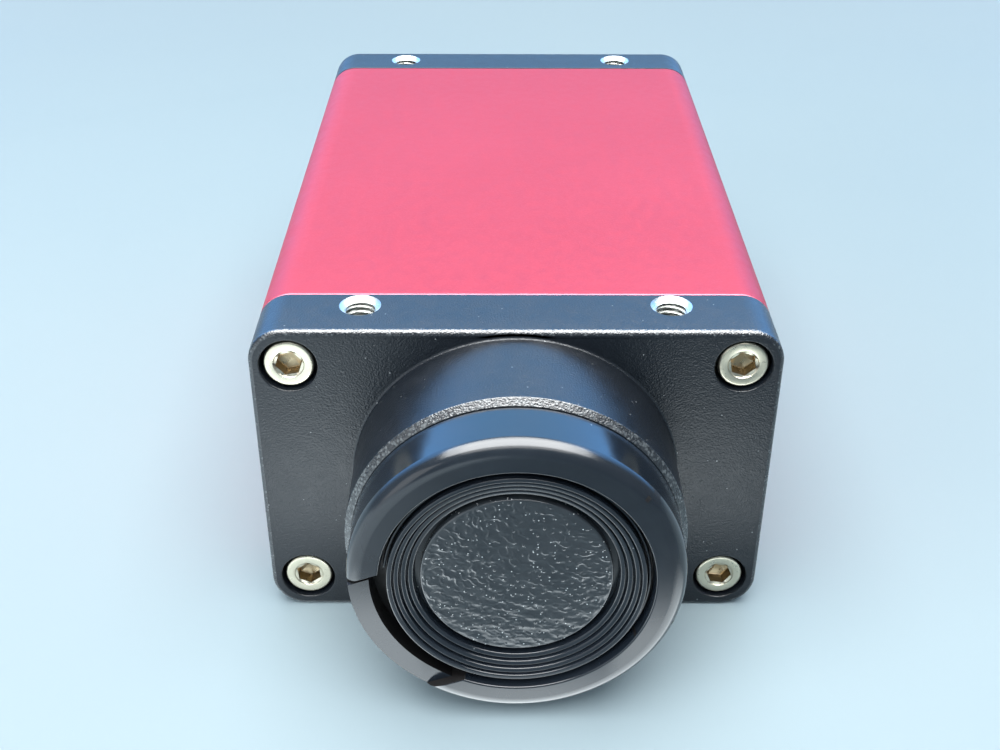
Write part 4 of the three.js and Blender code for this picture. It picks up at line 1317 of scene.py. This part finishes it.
def make_world():
    """Plain backdrop for the camera, soft blue light, and a bluer glow behind the object
    that only reflections see. Spans are parts of a unit direction."""
    world = bpy.data.worlds.new("studio")
    bpy.context.scene.world = world
    sky = Nodes(world)

    def times(a, b):
        return sky.math("MULTIPLY", a, b)

    def rest(value):
        return sky.math("SUBTRACT", 1.0, value)

    def rise(value, start, end):
        return sky.ramp(value, span=(start, end), kind="SMOOTHSTEP")

    def background(colour, strength):
        return sky.node("ShaderNodeBackground", {0: colour, 1: strength}).outputs[0]

    path = sky.node("ShaderNodeLightPath").outputs
    direction = sky.node("ShaderNodeTexCoord").outputs["Generated"]
    axes = sky.node("ShaderNodeSeparateXYZ", {0: direction}).outputs
    side = sky.math("ABSOLUTE", axes["X"])
    flank = rise(side, 0.10, 0.64)
    high = times(rise(axes["Z"], 0.08, 0.56), rest(flank))
    low = times(times(rise(axes["Z"], -0.04, 0.08), flank), 1.2)
    back = times(rise(axes["Y"], 0.05, 0.45), sky.math("ADD", high, low))
    back = times(back, rest(rise(axes["Z"], 0.62, 0.86)))
    back = times(back, rest(rise(side, 0.60, 0.98)))
    back = times(back, path["Is Glossy Ray"])
    tint = sky.mix(flank, (0.15, 0.49, 1.0), (0.13, 0.44, 1.0))
    glow = background(tint, times(back, 3.8))
    ambient = background((0.72, 0.87, 1.0, 1.0), 0.42)
    lighting = sky.node("ShaderNodeAddShader", {0: ambient, 1: glow}).outputs[0]
    seen = sky.node("ShaderNodeMixShader", {
        0: path["Is Camera Ray"], 1: lighting, 2: background((*BACKDROP, 1.0), 1.0)})
    sky.node("ShaderNodeOutputWorld", {0: seen.outputs[0]})


def panel(name, place, target, width, height, radiance, colour):
    """A rectangular light given by its radiance."""
    light = bpy.data.lights.new(name, "AREA")
    light.shape = "RECTANGLE"
    light.size, light.size_y = width, height
    light.energy = radiance * math.pi * width * height
    light.color = colour
    obj = bpy.data.objects.new(name, light)
    obj.location = place
    obj.rotation_mode = "QUATERNION"
    obj.rotation_quaternion = (Vector(target) - Vector(place)).to_track_quat("-Z", "Y")
    bpy.context.scene.collection.objects.link(obj)
    return obj


def make_lights():
    """A softbox overhead and one at the front left, each split by the rays that see it."""
    warm, cool = (1.0, 0.99, 0.97), (0.97, 0.99, 1.0)
    panel("key_softbox", (0.0, -0.10, 0.45), target=(0, -0.06, 0.02),
          width=0.52, height=0.56, radiance=4.6, colour=warm)
    sheen = panel("key_sheen", (0.0, 0.03, 0.452), target=(0, 0.03, 0.02),
                  width=0.74, height=0.50, radiance=13.0, colour=cool)
    sheen.visible_diffuse = False
    sheen.visible_camera = False
    left = {"target": (0, -0.01, 0.012), "width": 0.28, "height": 0.26, "colour": warm}
    fill = panel("fill_left", (-0.40, -0.30, 0.16), radiance=6.0, **left)
    fill.visible_glossy = False
    glint = panel("fill_left_glint", (-0.40, -0.30, 0.161), radiance=1.6, **left)
    glint.visible_diffuse = False


def make_camera():
    """Looks down at the front from above."""
    data = bpy.data.cameras.new("camera")
    data.sensor_width = 36.0
    data.lens = 46.94
    data.clip_start, data.clip_end = 0.002, 20
    camera = bpy.data.objects.new("camera", data)
    pitch, yaw, roll = math.radians(31.89), math.radians(0.12), math.radians(0.15)
    forward = Vector((math.sin(yaw) * math.cos(pitch), math.cos(yaw) * math.cos(pitch),
                      -math.sin(pitch)))
    right = Vector((math.cos(yaw), -math.sin(yaw), 0))
    up = right.cross(forward)
    rolled_right = right * math.cos(roll) + up * math.sin(roll)
    rolled_up = up * math.cos(roll) - right * math.sin(roll)
    camera.rotation_mode = "QUATERNION"
    axes = Matrix((rolled_right, rolled_up, -forward)).transposed()
    camera.rotation_quaternion = axes.to_quaternion()
    camera.location = (-1.513 * MM, -91.10 * MM + FRONT, 81.58 * MM)
    bpy.context.scene.collection.objects.link(camera)
    bpy.context.scene.camera = camera


make_floor()
make_world()
make_lights()
make_camera()

view = bpy.context.scene.view_settings
view.view_transform = "Standard"
view.look = "None"
view.exposure = 0.0
view.gamma = 1.0

bpy.context.view_layer.update()
